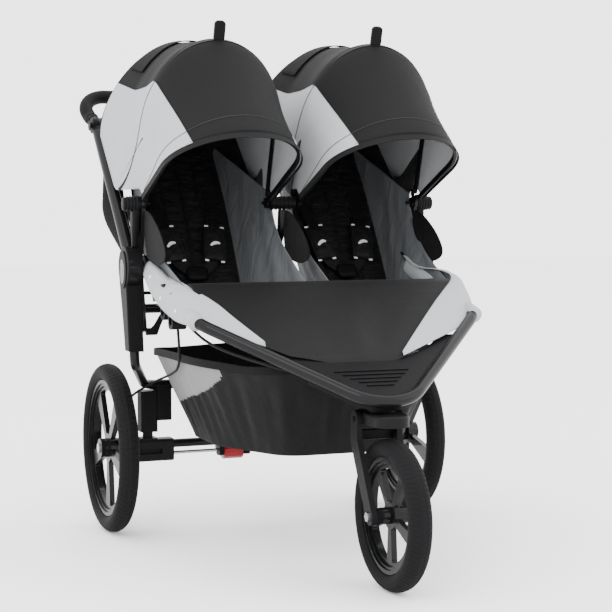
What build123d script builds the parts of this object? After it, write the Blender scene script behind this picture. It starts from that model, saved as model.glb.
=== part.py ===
"""Side-by-side three-wheel jogging stroller, millimetres, +Z up, front at -Y, one STEP per piece.

Places are given from the ground under the middle of the rear axle. at() moves them into the row
frame, whose origin is the middle of the footprint, AXLE_Y ahead of the rear axle.
"""

import os
from math import atan2, cos, hypot, radians, sin

from build123d import *

os.makedirs("parts", exist_ok=True)

# ---- driving dimensions -------------------------------------------------------------------
REAR_OD = 392.0  # rear tyre, nominal 16 inch
REAR_TYRE_WIDTH = 46.0
FRONT_OD = 304.0  # front tyre, nominal 12 inch
FRONT_TYRE_WIDTH = 49.0
TRACK = 755.0  # between the rear wheels' middles
WHEELBASE = 770.0
AXLE_Y = 289.0  # rear axle behind the middle of the footprint

HINGE_Y, HINGE_Z = -120.0, 622.0  # main fold axis, along X
RAIL_X, RAIL_OD = 318.0, 25.0  # front frame
UPPER_X, UPPER_OD = 353.0, 28.0  # upper frame
TUBE_WALL = 2.0
RAIL_FALL = 15.0  # degrees that the side rails drop toward the front
UPPER_RISE = 45.4  # degrees that the upper tubes rise toward the back
UPPER_LENGTH = 461.0  # fold axis to handle pivot
NOSE_FALL = 27.9  # degrees that the nose of the front frame drops
NOSE_RADIUS = 100.0
BEND_Y = -490.0  # where the side rails turn in to the nose
CROSS_OD = 22.0  # cross tubes

PIN_R = 6.0
RUN = 0.05  # running fit of a pin in its hole, on the radius
GAP = 0.3  # soft or curved pieces beside each other

LEG_IN, LEG_OUT = 340.0, 374.0  # rear leg housing, across X
DOME_R = 46.0  # round top of the housing, about the fold axis
CHEEK = 4.0
LEG_FOOT_Y, LEG_FOOT_Z = -147.0, 434.0

CANOPY_X = 187.0  # middle of each seat and canopy
CANOPY_Y, CANOPY_Z = -134.0, 765.0  # canopy hinge axis, along X
CANOPY_PIN_R = 4.0
BOW = 5.0
FABRIC = 2.0

SEAT_IN, SEAT_OUT = 50.0, 302.0
SEAT_PIVOT_Y, SEAT_PIVOT_Z = -75.0, 560.0
SEAT_ROD_R = 4.0
SEAT_BACK_ANGLE = 55.2
SEAT_BACK_LENGTH = 430.0
SEAT_BACK_THICK = 24.0

SWIVEL_Y = -713.0
FORK_Y, FORK_Z = -691.0, 334.0

SIDES = ((-1, "left"), (1, "right"))


def at(x, y, z):
    """A place given from the ground under the rear axle, in the row frame."""
    return Vector(x, y + AXLE_Y, z)


def side_plane(x, y=0.0, z=0.0):
    """Upright fore-and-aft plane: sketch x runs back, sketch y runs up, extrusion goes to +X."""
    return Plane(origin=at(x, y, z), x_dir=(0, 1, 0), z_dir=(1, 0, 0))


def low_x(side, inner, outer):
    """The smaller X of a slab that spans inner to outer on one side of the stroller."""
    return inner if side > 0 else -outer


def polar(radius, angle, y=HINGE_Y, z=HINGE_Z):
    """Y and Z of a point at a radius and angle (degrees up from straight back) about an X axis."""
    return y + radius * cos(radians(angle)), z + radius * sin(radians(angle))


def save(piece, node):
    """Label a finished piece and write its STEP."""
    piece.part.label = node
    export_step(piece.part, f"parts/{node}.step")


# ---- front frame: bent tube, lugs, pins, cross tubes ----------------------------------------
def nose_z(y):
    """Height of the nose plane at a depth."""
    return bend_z + (y - BEND_Y) * -nose_slope


rail_angle = 180 + RAIL_FALL
nose_slope = -sin(radians(NOSE_FALL)) / cos(radians(NOSE_FALL))
rail_start_y, rail_start_z = polar(30, rail_angle)
bend_z = HINGE_Z + (BEND_Y - HINGE_Y) * sin(radians(RAIL_FALL)) / cos(radians(RAIL_FALL))
tip_y = BEND_Y - RAIL_X


def rail_z(y):
    """Height of the side rails' middle at a depth."""
    return HINGE_Z + (y - HINGE_Y) * sin(radians(RAIL_FALL)) / cos(radians(RAIL_FALL))


with BuildPart() as front_frame_tube:
    with BuildLine() as run:
        FilletPolyline(
            at(-RAIL_X, rail_start_y, rail_start_z),
            at(-RAIL_X, BEND_Y, bend_z),
            at(0, tip_y, nose_z(tip_y)),
            at(RAIL_X, BEND_Y, bend_z),
            at(RAIL_X, rail_start_y, rail_start_z),
            radius=[80, NOSE_RADIUS, 80],
        )
    with BuildSketch(Plane(origin=run.line @ 0, z_dir=run.line % 0)):
        Circle(RAIL_OD / 2)
        Circle(RAIL_OD / 2 - TUBE_WALL, mode=Mode.SUBTRACT)
    sweep()
save(front_frame_tube, "front_frame_tube")

LUG_IN, LUG_OUT, LUG_R = RAIL_X - 10, RAIL_X + 10, 26.0
with BuildPart() as front_hinge_lugs:
    for side, _ in SIDES:
        x = low_x(side, LUG_IN, LUG_OUT)
        with BuildSketch(side_plane(x, HINGE_Y, HINGE_Z)):
            Circle(LUG_R)
        extrude(amount=LUG_OUT - LUG_IN)
        plug_y, plug_z = polar(18, rail_angle)
        along = Vector(0, cos(radians(rail_angle)), sin(radians(rail_angle)))
        with BuildSketch(Plane(origin=at(side * RAIL_X, plug_y, plug_z), z_dir=along)):
            Circle(RAIL_OD / 2 - TUBE_WALL - 0.1)
        extrude(amount=50)
        with BuildSketch(side_plane(x - 1, HINGE_Y, HINGE_Z)):
            Circle(PIN_R + RUN)
        extrude(amount=LUG_OUT - LUG_IN + 2, mode=Mode.SUBTRACT)
save(front_hinge_lugs, "front_hinge_lugs")

with BuildPart() as fold_hinge_pins:
    for side, _ in SIDES:
        with BuildSketch(side_plane(low_x(side, LUG_IN, LEG_OUT - 0.5), HINGE_Y, HINGE_Z)):
            Circle(PIN_R)
        extrude(amount=LEG_OUT - 0.5 - LUG_IN)
save(fold_hinge_pins, "fold_hinge_pins")

CROSS_Y = (-360.0, -300.0)
CROSS_DROP = 40.0  # cross tubes hang this far below the rails, under the seat
CLAMP_IN, CLAMP_OUT = SEAT_OUT + 1, RAIL_X + 17
with BuildPart() as seat_cross_tubes:
    for y in CROSS_Y:
        with BuildSketch(side_plane(-RAIL_X - 12, y, rail_z(y) - CROSS_DROP)):
            Circle(CROSS_OD / 2)
            Circle(CROSS_OD / 2 - TUBE_WALL, mode=Mode.SUBTRACT)
        extrude(amount=2 * RAIL_X + 24)
save(seat_cross_tubes, "seat_cross_tubes")

with BuildPart() as rail_clamps:
    for side, _ in SIDES:
        for y in CROSS_Y:
            x = low_x(side, CLAMP_IN, CLAMP_OUT)
            with BuildSketch(side_plane(x, y, rail_z(y) - CROSS_DROP / 2)):
                RectangleRounded(34, CROSS_DROP + 38, 14)
            extrude(amount=CLAMP_OUT - CLAMP_IN)
            low = Plane(origin=at(side * RAIL_X, y, rail_z(y)), z_dir=along)
            with BuildSketch(low.offset(-40)):
                Circle(RAIL_OD / 2 + 0.1)
            extrude(amount=80, mode=Mode.SUBTRACT)
            with BuildSketch(side_plane(x - 1, y, rail_z(y) - CROSS_DROP)):
                Circle(CROSS_OD / 2 + 0.1)
            extrude(amount=CLAMP_OUT - CLAMP_IN + 2, mode=Mode.SUBTRACT)
save(rail_clamps, "rail_clamps")

# ---- nose: foot tray and swivel housing ------------------------------------------------------
up_nose = Vector(0, cos(radians(NOSE_FALL)), sin(radians(NOSE_FALL)))
nose_plane = Plane(
    origin=at(0, tip_y, nose_z(tip_y)),
    x_dir=(1, 0, 0),
    z_dir=Vector(0, -sin(radians(NOSE_FALL)), cos(radians(NOSE_FALL))),
)
bend_v = RAIL_X / cos(radians(NOSE_FALL))  # from the tip to the bends, up the nose


def nose_area(inset, back):
    """Face inside the nose tube, inset from its middle line, up to a line this far from the tip."""
    reach = back / bend_v * RAIL_X
    with BuildSketch() as area:
        with BuildLine():
            FilletPolyline((-reach, back), (0, 0), (reach, back), radius=NOSE_RADIUS)
            Line((-reach, back), (reach, back))
        make_face()
        offset(amount=-inset)
    return area.sketch


with BuildPart() as foot_tray:
    with BuildSketch(nose_plane.offset(-6)):
        add(nose_area(RAIL_OD / 2 + 1, 300))
        with Locations((0, 345)):
            Ellipse(215, 150, mode=Mode.SUBTRACT)
    extrude(amount=5)
    with BuildSketch(nose_plane.offset(-1)):
        for n in range(5):
            with Locations((0, 110 + 13 * n)):
                SlotOverall(60 + 26 * n, 5)
    extrude(amount=2)
save(foot_tray, "foot_tray")

SWIVEL_R = 8.0
HOUSING_LOW = 352.0
with BuildPart() as swivel_housing:
    with BuildSketch(nose_plane.offset(-RAIL_OD / 2 - 9)):
        add(nose_area(-4, 150))
    extrude(amount=8.6)
    with BuildSketch(Plane(origin=at(0, SWIVEL_Y, HOUSING_LOW))):
        Circle(27)
    extrude(amount=nose_z(SWIVEL_Y) - 24 - HOUSING_LOW)
    with BuildSketch(Plane(origin=at(0, SWIVEL_Y, HOUSING_LOW - 1))):
        Circle(SWIVEL_R + RUN)
    extrude(amount=nose_z(SWIVEL_Y) - 26 - HOUSING_LOW, mode=Mode.SUBTRACT)
save(swivel_housing, "swivel_housing")

# ---- front fork and wheel ---------------------------------------------------------------------
CROWN_LOW, CROWN_TOP = 328.0, 351.0
FORK_IN, FORK_OUT = 38.0, 50.0
FRONT_AXLE_Z = FRONT_OD / 2
with BuildPart() as fork_crown:
    with BuildSketch(Plane(origin=at(0, 0, CROWN_LOW))):
        with Locations((0, -718)):
            RectangleRounded(2 * FORK_IN - 2, 156, 34)
    extrude(amount=CROWN_TOP - CROWN_LOW)
    fillet(fork_crown.edges().group_by(Axis.Z)[-1], 6)
    with BuildSketch(Plane(origin=at(0, SWIVEL_Y, CROWN_TOP - 1))):
        Circle(SWIVEL_R)
    extrude(amount=nose_z(SWIVEL_Y) - 28 - CROWN_TOP)
    with BuildSketch(side_plane(-FORK_OUT - 4, FORK_Y, FORK_Z + 2)):
        Circle(PIN_R)
    extrude(amount=2 * FORK_OUT + 8)
save(fork_crown, "fork_crown")

with BuildPart() as fork_legs:
    for side, _ in SIDES:
        with BuildSketch(side_plane(low_x(side, FORK_IN, FORK_OUT))):
            with BuildLine():
                Polyline(
                    (FORK_Y - 15, FORK_Z + 8),
                    (FORK_Y - 17, FORK_Z - 38),
                    (-WHEELBASE - 16, FRONT_AXLE_Z + 2),
                    (-WHEELBASE - 12, FRONT_AXLE_Z - 14),
                    (-WHEELBASE + 12, FRONT_AXLE_Z - 14),
                    (FORK_Y + 17, FORK_Z - 46),
                    (FORK_Y + 17, FORK_Z + 8),
                    close=True,
                )
            make_face()
            with Locations((FORK_Y, FORK_Z + 2)):
                Circle(18)
            with Locations((-WHEELBASE, FRONT_AXLE_Z)):
                Circle(17)
        extrude(amount=FORK_OUT - FORK_IN)
        with BuildSketch(side_plane(low_x(side, FORK_IN - 1, FORK_OUT + 1), FORK_Y, FORK_Z + 2)):
            Circle(PIN_R + RUN)
        extrude(amount=FORK_OUT - FORK_IN + 2, mode=Mode.SUBTRACT)
        with BuildSketch(side_plane(low_x(side, FORK_IN - 1, FORK_OUT + 1), -WHEELBASE, FRONT_AXLE_Z)):
            Circle(PIN_R + 0.1)
        extrude(amount=FORK_OUT - FORK_IN + 2, mode=Mode.SUBTRACT)
    with BuildSketch(side_plane(-FORK_IN - 2, FORK_Y + 13, FORK_Z - 32)):
        RectangleRounded(9, 22, 4)
    extrude(amount=2 * FORK_IN + 4)
save(fork_legs, "fork_legs")

NUT_THICK = 6.0
with BuildPart() as front_axle:
    with BuildSketch(side_plane(-FORK_OUT - 6, -WHEELBASE, FRONT_AXLE_Z)):
        Circle(PIN_R)
    extrude(amount=2 * FORK_OUT + 12)
    for side, _ in SIDES:
        x = low_x(side, FORK_OUT + 0.1, FORK_OUT + NUT_THICK)
        with BuildSketch(side_plane(x, -WHEELBASE, FRONT_AXLE_Z)):
            RegularPolygon(10, 6)
        extrude(amount=NUT_THICK - 0.1)
save(front_axle, "front_axle")


def wheel_plane(centre):
    """Plane through a wheel's middle that holds its axle: sketch x is along the axle, y is radial."""
    return Plane(origin=centre, x_dir=(1, 0, 0), z_dir=(0, -1, 0))


def window_area(inner, outer):
    """One of a wheel's five openings between spokes, as a face along sketch x."""
    half_in, half_out = radians(21), radians(28)
    a = (inner * cos(half_in), inner * sin(half_in))
    b = (outer * cos(half_out), outer * sin(half_out))
    with BuildSketch() as area:
        with BuildLine():
            Line((a[0], -a[1]), (b[0], -b[1]))
            ThreePointArc((b[0], -b[1]), (outer, 0), b)
            Line(b, a)
            ThreePointArc(a, (inner, 0), (a[0], -a[1]))
        make_face()
        fillet(vertices(), inner * 0.13)
    return area.sketch


def build_wheel(node_tyre, node_rim, centre, outer, width, depth, hub_r, hub_half):
    """Tyre and rim about one axle."""
    with BuildPart() as tyre:
        with BuildSketch(wheel_plane(centre)):
            with Locations((0, outer / 2 - depth / 2)):
                Ellipse(width / 2, depth / 2)
                Ellipse(width / 2 - 3.5, depth / 2 - 3.5, mode=Mode.SUBTRACT)
            with Locations((0, outer / 2 - depth - 4)):
                Rectangle(width, 16, mode=Mode.SUBTRACT)
        revolve(axis=Axis(centre, (1, 0, 0)))
    save(tyre, node_tyre)

    seat = outer / 2 - depth + 4 - 0.2
    with BuildPart() as wheel:
        with BuildSketch(wheel_plane(centre)):
            with Locations((0, seat - 4)):
                Rectangle(width * 0.62, 8)
            with Locations((0, seat - 8)):
                Rectangle(width * 0.46, 12)
            with Locations((0, (seat + hub_r) / 2 - 6)):
                Rectangle(12, seat - hub_r)
            with Locations((0, (hub_r + PIN_R + RUN) / 2)):
                Rectangle(2 * hub_half, hub_r - PIN_R - RUN)
        revolve(axis=Axis(centre, (1, 0, 0)))
        with BuildSketch(Plane(origin=centre - Vector(20, 0, 0), x_dir=(0, 1, 0), z_dir=(1, 0, 0))):
            with PolarLocations(0, 5, start_angle=18):
                add(window_area(hub_r + 11, seat - 22))
        extrude(amount=40, mode=Mode.SUBTRACT)
    save(wheel, node_rim)


front_centre = at(0, -WHEELBASE, FRONT_AXLE_Z)
build_wheel("front_tyre", "front_rim", front_centre, FRONT_OD, FRONT_TYRE_WIDTH, 40, 17, FORK_IN - 1)

REAR_HUB_HALF = 25.0
for side, name in SIDES:
    rear_centre = at(side * TRACK / 2, 0, REAR_OD / 2)
    nodes = (f"rear_tyre_{name}", f"rear_rim_{name}")
    build_wheel(*nodes, rear_centre, REAR_OD, REAR_TYRE_WIDTH, 42, 22, REAR_HUB_HALF)
    with BuildPart() as hub_cap:
        x = TRACK / 2 + REAR_HUB_HALF
        with BuildSketch(side_plane(low_x(side, x + 0.2, x + 4), 0, REAR_OD / 2)):
            Circle(11)
        extrude(amount=3.8)
    save(hub_cap, f"hub_cap_{name}")

# ---- rear axle: tube, castings with suspension sliders, brake -----------------------------------
AXLE_Z = REAR_OD / 2
CASTING_IN, CASTING_OUT = 229.0, TRACK / 2 - REAR_HUB_HALF - 1.5
ROD_Z, ROD_R = AXLE_Z - 20, 4.0  # brake rod
SLIDER_X, SLIDER_R = 287.0, 12.0
AXLE_TUBE_R = 10.0
POD_LOW, POD_TOP = 230.0, 326.0
with BuildPart() as rear_axle_tube:
    with BuildSketch(side_plane(-CASTING_IN - 30, 0, AXLE_Z + 2)):
        Circle(AXLE_TUBE_R)
        Circle(AXLE_TUBE_R - TUBE_WALL, mode=Mode.SUBTRACT)
    extrude(amount=2 * CASTING_IN + 60)
save(rear_axle_tube, "rear_axle_tube")

with BuildPart() as axle_castings:
    for side, _ in SIDES:
        with BuildSketch(side_plane(low_x(side, CASTING_IN, CASTING_OUT), 0, AXLE_Z - 10)):
            RectangleRounded(44, 52, 8)
        extrude(amount=CASTING_OUT - CASTING_IN)
        with BuildSketch(Plane(origin=at(side * SLIDER_X, 0, AXLE_Z + 10))):
            RectangleRounded(40, 38, 6)
        extrude(amount=POD_LOW - 15 - AXLE_Z - 10)
        with BuildSketch(Plane(origin=at(side * SLIDER_X, 0, AXLE_Z + 10))):
            Circle(SLIDER_R)
        extrude(amount=POD_TOP - 45 - AXLE_Z - 10)
        for n in range(3):  # open pockets between the ribs on the front face
            with BuildSketch(Plane(origin=at(side * (318 - 22 * n), -22, AXLE_Z - 12), z_dir=(0, -1, 0))):
                RectangleRounded(12, 34, 3)
            extrude(amount=-9, mode=Mode.SUBTRACT)
        with BuildSketch(side_plane(low_x(side, CASTING_IN - 1, CASTING_IN + 32), 0, AXLE_Z + 2)):
            Circle(AXLE_TUBE_R + 0.1)
        extrude(amount=33, mode=Mode.SUBTRACT)
        with BuildSketch(side_plane(low_x(side, CASTING_IN - 1, CASTING_IN + 24), 0, ROD_Z)):
            Circle(ROD_R + RUN)
        extrude(amount=25, mode=Mode.SUBTRACT)
        stub = TRACK / 2 + REAR_HUB_HALF
        with BuildSketch(side_plane(low_x(side, CASTING_OUT - 1, stub), 0, AXLE_Z)):
            Circle(PIN_R)
        extrude(amount=stub - CASTING_OUT + 1)
save(axle_castings, "axle_castings")

with BuildPart() as suspension_springs:
    for side, _ in SIDES:
        with BuildSketch(Plane(origin=at(side * SLIDER_X, 0, POD_TOP - 44.8))):
            Circle(SLIDER_R - 1)
            Circle(SLIDER_R - 4, mode=Mode.SUBTRACT)
        extrude(amount=38.6)
save(suspension_springs, "suspension_springs")

PEDAL_IN, PEDAL_OUT = 53.0, 101.0
with BuildPart() as brake_rod:
    with BuildSketch(side_plane(-CASTING_IN - 20, 0, ROD_Z)):
        Circle(ROD_R)
    extrude(amount=2 * CASTING_IN + 40)
save(brake_rod, "brake_rod")

with BuildPart() as brake_pedal:
    with BuildSketch(side_plane(-PEDAL_OUT, 0, ROD_Z)):
        with BuildLine():
            Polyline(
                (-9, 4), (-9, -16), (2, -23), (52, -13), (66, -3), (64, 4), (40, 4), (12, 8), close=True
            )
        make_face()
        Circle(12)
        fillet(vertices(), 2)
        Circle(ROD_R + RUN, mode=Mode.SUBTRACT)
    extrude(amount=PEDAL_OUT - PEDAL_IN)
save(brake_pedal, "brake_pedal")

with BuildPart() as brake_brackets:
    for x, wide in ((-PEDAL_OUT - 13, 12), (-PEDAL_IN + 1, 15), (24, 12)):
        with BuildSketch(side_plane(x, 0, AXLE_Z - 9)):
            RectangleRounded(30, 48, 9)
            with Locations((0, 11)):
                Circle(AXLE_TUBE_R + 0.1, mode=Mode.SUBTRACT)
            with Locations((0, -11)):
                Circle(ROD_R + RUN, mode=Mode.SUBTRACT)
        extrude(amount=wide)
save(brake_brackets, "brake_brackets")

# ---- rear frame: leg housings, bent cross tube, suspension pods ----------------------------------
LEG_EDGE = [(-22, -30), (-33, -100), (-46, -188), (-8, -188), (4, -140), (16, -100), (44, -12)]
with BuildPart() as rear_legs:
    for side, _ in SIDES:
        x = low_x(side, LEG_IN, LEG_OUT)
        with BuildSketch(side_plane(x, HINGE_Y, HINGE_Z)):
            Circle(DOME_R)
            with BuildLine():
                Polyline(*LEG_EDGE, close=True)
            make_face()
        extrude(amount=LEG_OUT - LEG_IN)
        outer_face = rear_legs.faces().filter_by(Axis.X).sort_by(Axis.X)[-1 if side > 0 else 0]
        fillet(outer_face.edges(), 3)
        with BuildSketch(side_plane(low_x(side, LEG_IN + CHEEK, LEG_OUT - CHEEK), HINGE_Y, HINGE_Z)):
            Circle(DOME_R + 0.6)
        extrude(amount=LEG_OUT - LEG_IN - 2 * CHEEK, mode=Mode.SUBTRACT)
        with BuildSketch(side_plane(x - 1, HINGE_Y, HINGE_Z)):
            Circle(PIN_R + RUN)
        extrude(amount=LEG_OUT - LEG_IN + 2, mode=Mode.SUBTRACT)
        with BuildSketch(Plane(origin=at(side * (LEG_IN + LEG_OUT) / 2, LEG_FOOT_Y, LEG_FOOT_Z - 1))):
            Circle(CROSS_OD / 2 + 0.1)
        extrude(amount=40, mode=Mode.SUBTRACT)
save(rear_legs, "rear_legs")

COVER_THICK = 3.0
with BuildPart() as hinge_covers:
    for side, _ in SIDES:
        x = low_x(side, LEG_OUT + RUN, LEG_OUT + COVER_THICK)
        with BuildSketch(side_plane(x, HINGE_Y - 1, HINGE_Z - 6)):
            Ellipse(30, 42)
        extrude(amount=COVER_THICK - RUN)
        chamfer(hinge_covers.faces().sort_by(Axis.X)[-1 if side > 0 else 0].edges(), 1)
save(hinge_covers, "hinge_covers")

LEG_MID = (LEG_IN + LEG_OUT) / 2
REAR_TUBE_Z = POD_TOP + CROSS_OD / 2 + 2
POD_BEND_X = 294.0  # the tube turns outboard here, clear of the pods' saddles
with BuildPart() as rear_cross_tube:
    with BuildLine() as run:
        half = [
            (LEG_MID, LEG_FOOT_Y, LEG_FOOT_Z + 38),
            (LEG_MID, LEG_FOOT_Y, LEG_FOOT_Z - 27),
            (POD_BEND_X, 0, REAR_TUBE_Z),
        ]
        left = [at(-x, y, z) for x, y, z in half]
        right = [at(x, y, z) for x, y, z in reversed(half)]
        FilletPolyline(*left, *right, radius=[36, 40, 40, 36])
    with BuildSketch(Plane(origin=run.line @ 0, z_dir=run.line % 0)):
        Circle(CROSS_OD / 2)
        Circle(CROSS_OD / 2 - TUBE_WALL, mode=Mode.SUBTRACT)
    sweep()
save(rear_cross_tube, "rear_cross_tube")

with BuildPart() as suspension_pods:
    for side, _ in SIDES:
        with BuildSketch(Plane(origin=at(side * SLIDER_X, 0, POD_LOW))):
            RectangleRounded(40, 42, 6)
        extrude(amount=POD_TOP - POD_LOW)
        with BuildSketch(Plane(origin=at(side * 251, 0, POD_LOW + 26))):
            RectangleRounded(38, 36, 6)
        extrude(amount=REAR_TUBE_Z - POD_LOW - 26)
        with BuildSketch(Plane(origin=at(side * SLIDER_X, 0, POD_LOW - 1))):
            Circle(SLIDER_R + RUN)
        extrude(amount=POD_TOP - POD_LOW - 5, mode=Mode.SUBTRACT)
        with BuildSketch(side_plane(low_x(side, 225, 330), 0, REAR_TUBE_Z)):
            Circle(CROSS_OD / 2 + 0.1)
        extrude(amount=105, mode=Mode.SUBTRACT)
save(suspension_pods, "suspension_pods")


# ---- upper frame: tubes, hinge hubs, side plates, lock hook, seat tube, centre post --------------
HANDLE_Y, HANDLE_Z = polar(UPPER_LENGTH, UPPER_RISE)
upper_along = Vector(0, cos(radians(UPPER_RISE)), sin(radians(UPPER_RISE)))
HUB_IN, HUB_OUT = LEG_IN + CHEEK + 0.3, LEG_OUT - CHEEK - 0.3
PIVOT_R = 19.0
PLUG_R = UPPER_OD / 2 - TUBE_WALL - 0.1
with BuildPart() as upper_tubes:
    for side, _ in SIDES:
        y, z = polar(DOME_R + 4, UPPER_RISE)
        with BuildSketch(Plane(origin=at(side * UPPER_X, y, z), z_dir=upper_along)):
            Circle(UPPER_OD / 2)
            Circle(UPPER_OD / 2 - TUBE_WALL, mode=Mode.SUBTRACT)
        extrude(amount=UPPER_LENGTH - PIVOT_R - 6 - DOME_R - 4)
save(upper_tubes, "upper_tubes")

with BuildPart() as upper_hinge_hubs:
    for side, _ in SIDES:
        with BuildSketch(side_plane(low_x(side, HUB_IN, HUB_OUT), HINGE_Y, HINGE_Z)):
            Circle(DOME_R - 1)
        extrude(amount=HUB_OUT - HUB_IN)
        for start, end, radius in ((30, DOME_R + 8, 8.4), (DOME_R + 5, DOME_R + 40, PLUG_R)):
            y, z = polar(start, UPPER_RISE)
            with BuildSketch(Plane(origin=at(side * UPPER_X, y, z), z_dir=upper_along)):
                Circle(radius)
            extrude(amount=end - start)
        with BuildSketch(side_plane(low_x(side, HUB_IN - 6, HUB_OUT + 6), HINGE_Y, HINGE_Z)):
            Circle(PIN_R + RUN)
        extrude(amount=HUB_OUT - HUB_IN + 12, mode=Mode.SUBTRACT)
save(upper_hinge_hubs, "upper_hinge_hubs")

PLATE_IN, PLATE_OUT = RAIL_X + RAIL_OD / 2 + 1.3, LEG_IN - 1.2
SEAT_TUBE_Y, SEAT_TUBE_Z = -20.0, 520.0
HOOK_X, HOOK_Y, HOOK_Z = 318.0, -155.0, 478.0  # lock hook's pivot, on the left plate
HOOK_PIN_R = 3.5
with BuildPart() as side_plates:  # from the seat tube past the fold pin up to the canopy hinge
    for side, _ in SIDES:
        x = low_x(side, PLATE_IN, PLATE_OUT)
        with BuildSketch(side_plane(x)):
            with Locations((HINGE_Y, HINGE_Z)):
                Circle(24)
            with Locations((CANOPY_Y, CANOPY_Z)):
                Circle(16)
            with Locations((SEAT_TUBE_Y, SEAT_TUBE_Z)):
                Circle(17)
            with Locations((SEAT_PIVOT_Y, SEAT_PIVOT_Z)):
                Circle(13)
            arms = [
                ((HINGE_Y, HINGE_Z), (CANOPY_Y, CANOPY_Z), 12),
                ((HINGE_Y, HINGE_Z), (SEAT_TUBE_Y, SEAT_TUBE_Z), 13),
            ]
            if side < 0:
                arms.append(((HINGE_Y, HINGE_Z), (HOOK_Y, HOOK_Z), 10))
            for a, b, wide in arms:
                turn = atan2(b[1] - a[1], b[0] - a[0])
                sx, sy = -sin(turn) * wide, cos(turn) * wide
                with BuildLine():
                    near = [(a[0] + sx, a[1] + sy), (b[0] + sx, b[1] + sy)]
                    far = [(b[0] - sx, b[1] - sy), (a[0] - sx, a[1] - sy)]
                    Polyline(*near, *far, close=True)
                make_face()
            with Locations((HINGE_Y, HINGE_Z)):
                Circle(PIN_R + RUN, mode=Mode.SUBTRACT)
            with Locations((SEAT_TUBE_Y, SEAT_TUBE_Z)):
                Circle(CROSS_OD / 2 + 0.1, mode=Mode.SUBTRACT)
            with Locations((SEAT_PIVOT_Y, SEAT_PIVOT_Z)):
                Circle(SEAT_ROD_R + RUN, mode=Mode.SUBTRACT)
            with Locations((CANOPY_Y, CANOPY_Z)):
                Circle(CANOPY_PIN_R + RUN, mode=Mode.SUBTRACT)
        extrude(amount=PLATE_OUT - PLATE_IN)
save(side_plates, "side_plates")

with BuildPart() as lock_hook_arm:
    with BuildSketch(Plane(origin=at(-PLATE_IN + 0.2, HOOK_Y, HOOK_Z), z_dir=(1, 0, 0))):
        RectangleRounded(16, 14, 4)
    extrude(amount=PLATE_IN - HOOK_X + 5)
    with BuildSketch(Plane(origin=at(-HOOK_X, HOOK_Y + 9, HOOK_Z), z_dir=(0, -1, 0))):
        Circle(HOOK_PIN_R)
    extrude(amount=24)
save(lock_hook_arm, "lock_hook_arm")

with BuildPart() as lock_hook:
    with BuildSketch(Plane(origin=at(-HOOK_X, HOOK_Y - 9, HOOK_Z), x_dir=(1, 0, 0), z_dir=(0, -1, 0))):
        with BuildLine():
            Polyline(
                (-7, -6), (8, -7), (16, 14), (27, 38), (22, 46), (14, 36), (2, 16), (-6, 8), close=True
            )
        make_face()
        fillet(vertices(), 1.5)
        Circle(HOOK_PIN_R + RUN, mode=Mode.SUBTRACT)
    extrude(amount=6)
save(lock_hook, "lock_hook")

with BuildPart() as rear_seat_tubes:  # the seat tube and the rod that the seat backs turn on
    with BuildSketch(side_plane(-PLATE_OUT, SEAT_TUBE_Y, SEAT_TUBE_Z)):
        Circle(CROSS_OD / 2)
        Circle(CROSS_OD / 2 - TUBE_WALL, mode=Mode.SUBTRACT)
    extrude(amount=2 * PLATE_OUT)
    with BuildSketch(side_plane(-PLATE_OUT, SEAT_PIVOT_Y, SEAT_PIVOT_Z)):
        Circle(SEAT_ROD_R)
    extrude(amount=2 * PLATE_OUT)
save(rear_seat_tubes, "rear_seat_tubes")

POST_R = 9.0
CENTRE_HUB_R = 16.0
with BuildPart() as centre_post:
    with BuildLine() as run:
        FilletPolyline(
            at(0, SEAT_TUBE_Y, SEAT_TUBE_Z + CROSS_OD / 2 + 0.2),
            at(0, SEAT_TUBE_Y - 12, 600),
            at(0, CANOPY_Y + 8, 690),
            at(0, CANOPY_Y, CANOPY_Z - CENTRE_HUB_R - 0.2),
            radius=60,
        )
    with BuildSketch(Plane(origin=run.line @ 0, z_dir=run.line % 0)):
        Circle(POST_R)
        Circle(POST_R - TUBE_WALL, mode=Mode.SUBTRACT)
    sweep()
save(centre_post, "centre_post")

CENTRE_HALF = 30.0
with BuildPart() as centre_canopy_hub:
    with BuildSketch(side_plane(-CENTRE_HALF, CANOPY_Y, CANOPY_Z)):
        Circle(CENTRE_HUB_R - 2)
    extrude(amount=2 * CENTRE_HALF)
    for n in range(6):
        with BuildSketch(side_plane(-CENTRE_HALF + 3 + n * 10, CANOPY_Y, CANOPY_Z)):
            Circle(CENTRE_HUB_R)
        extrude(amount=4)
    with BuildSketch(side_plane(-CENTRE_HALF - 1, CANOPY_Y, CANOPY_Z)):
        Circle(CANOPY_PIN_R + RUN)
    extrude(amount=2 * CENTRE_HALF + 2, mode=Mode.SUBTRACT)
save(centre_canopy_hub, "centre_canopy_hub")

with BuildPart() as canopy_pins:  # one at each end of each canopy
    for side, _ in SIDES:
        for inner, outer in ((CENTRE_HALF - 11, CENTRE_HALF + 19), (PLATE_IN - 17, PLATE_OUT)):
            with BuildSketch(side_plane(low_x(side, inner, outer), CANOPY_Y, CANOPY_Z)):
                Circle(CANOPY_PIN_R)
            extrude(amount=outer - inner)
save(canopy_pins, "canopy_pins")

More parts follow.
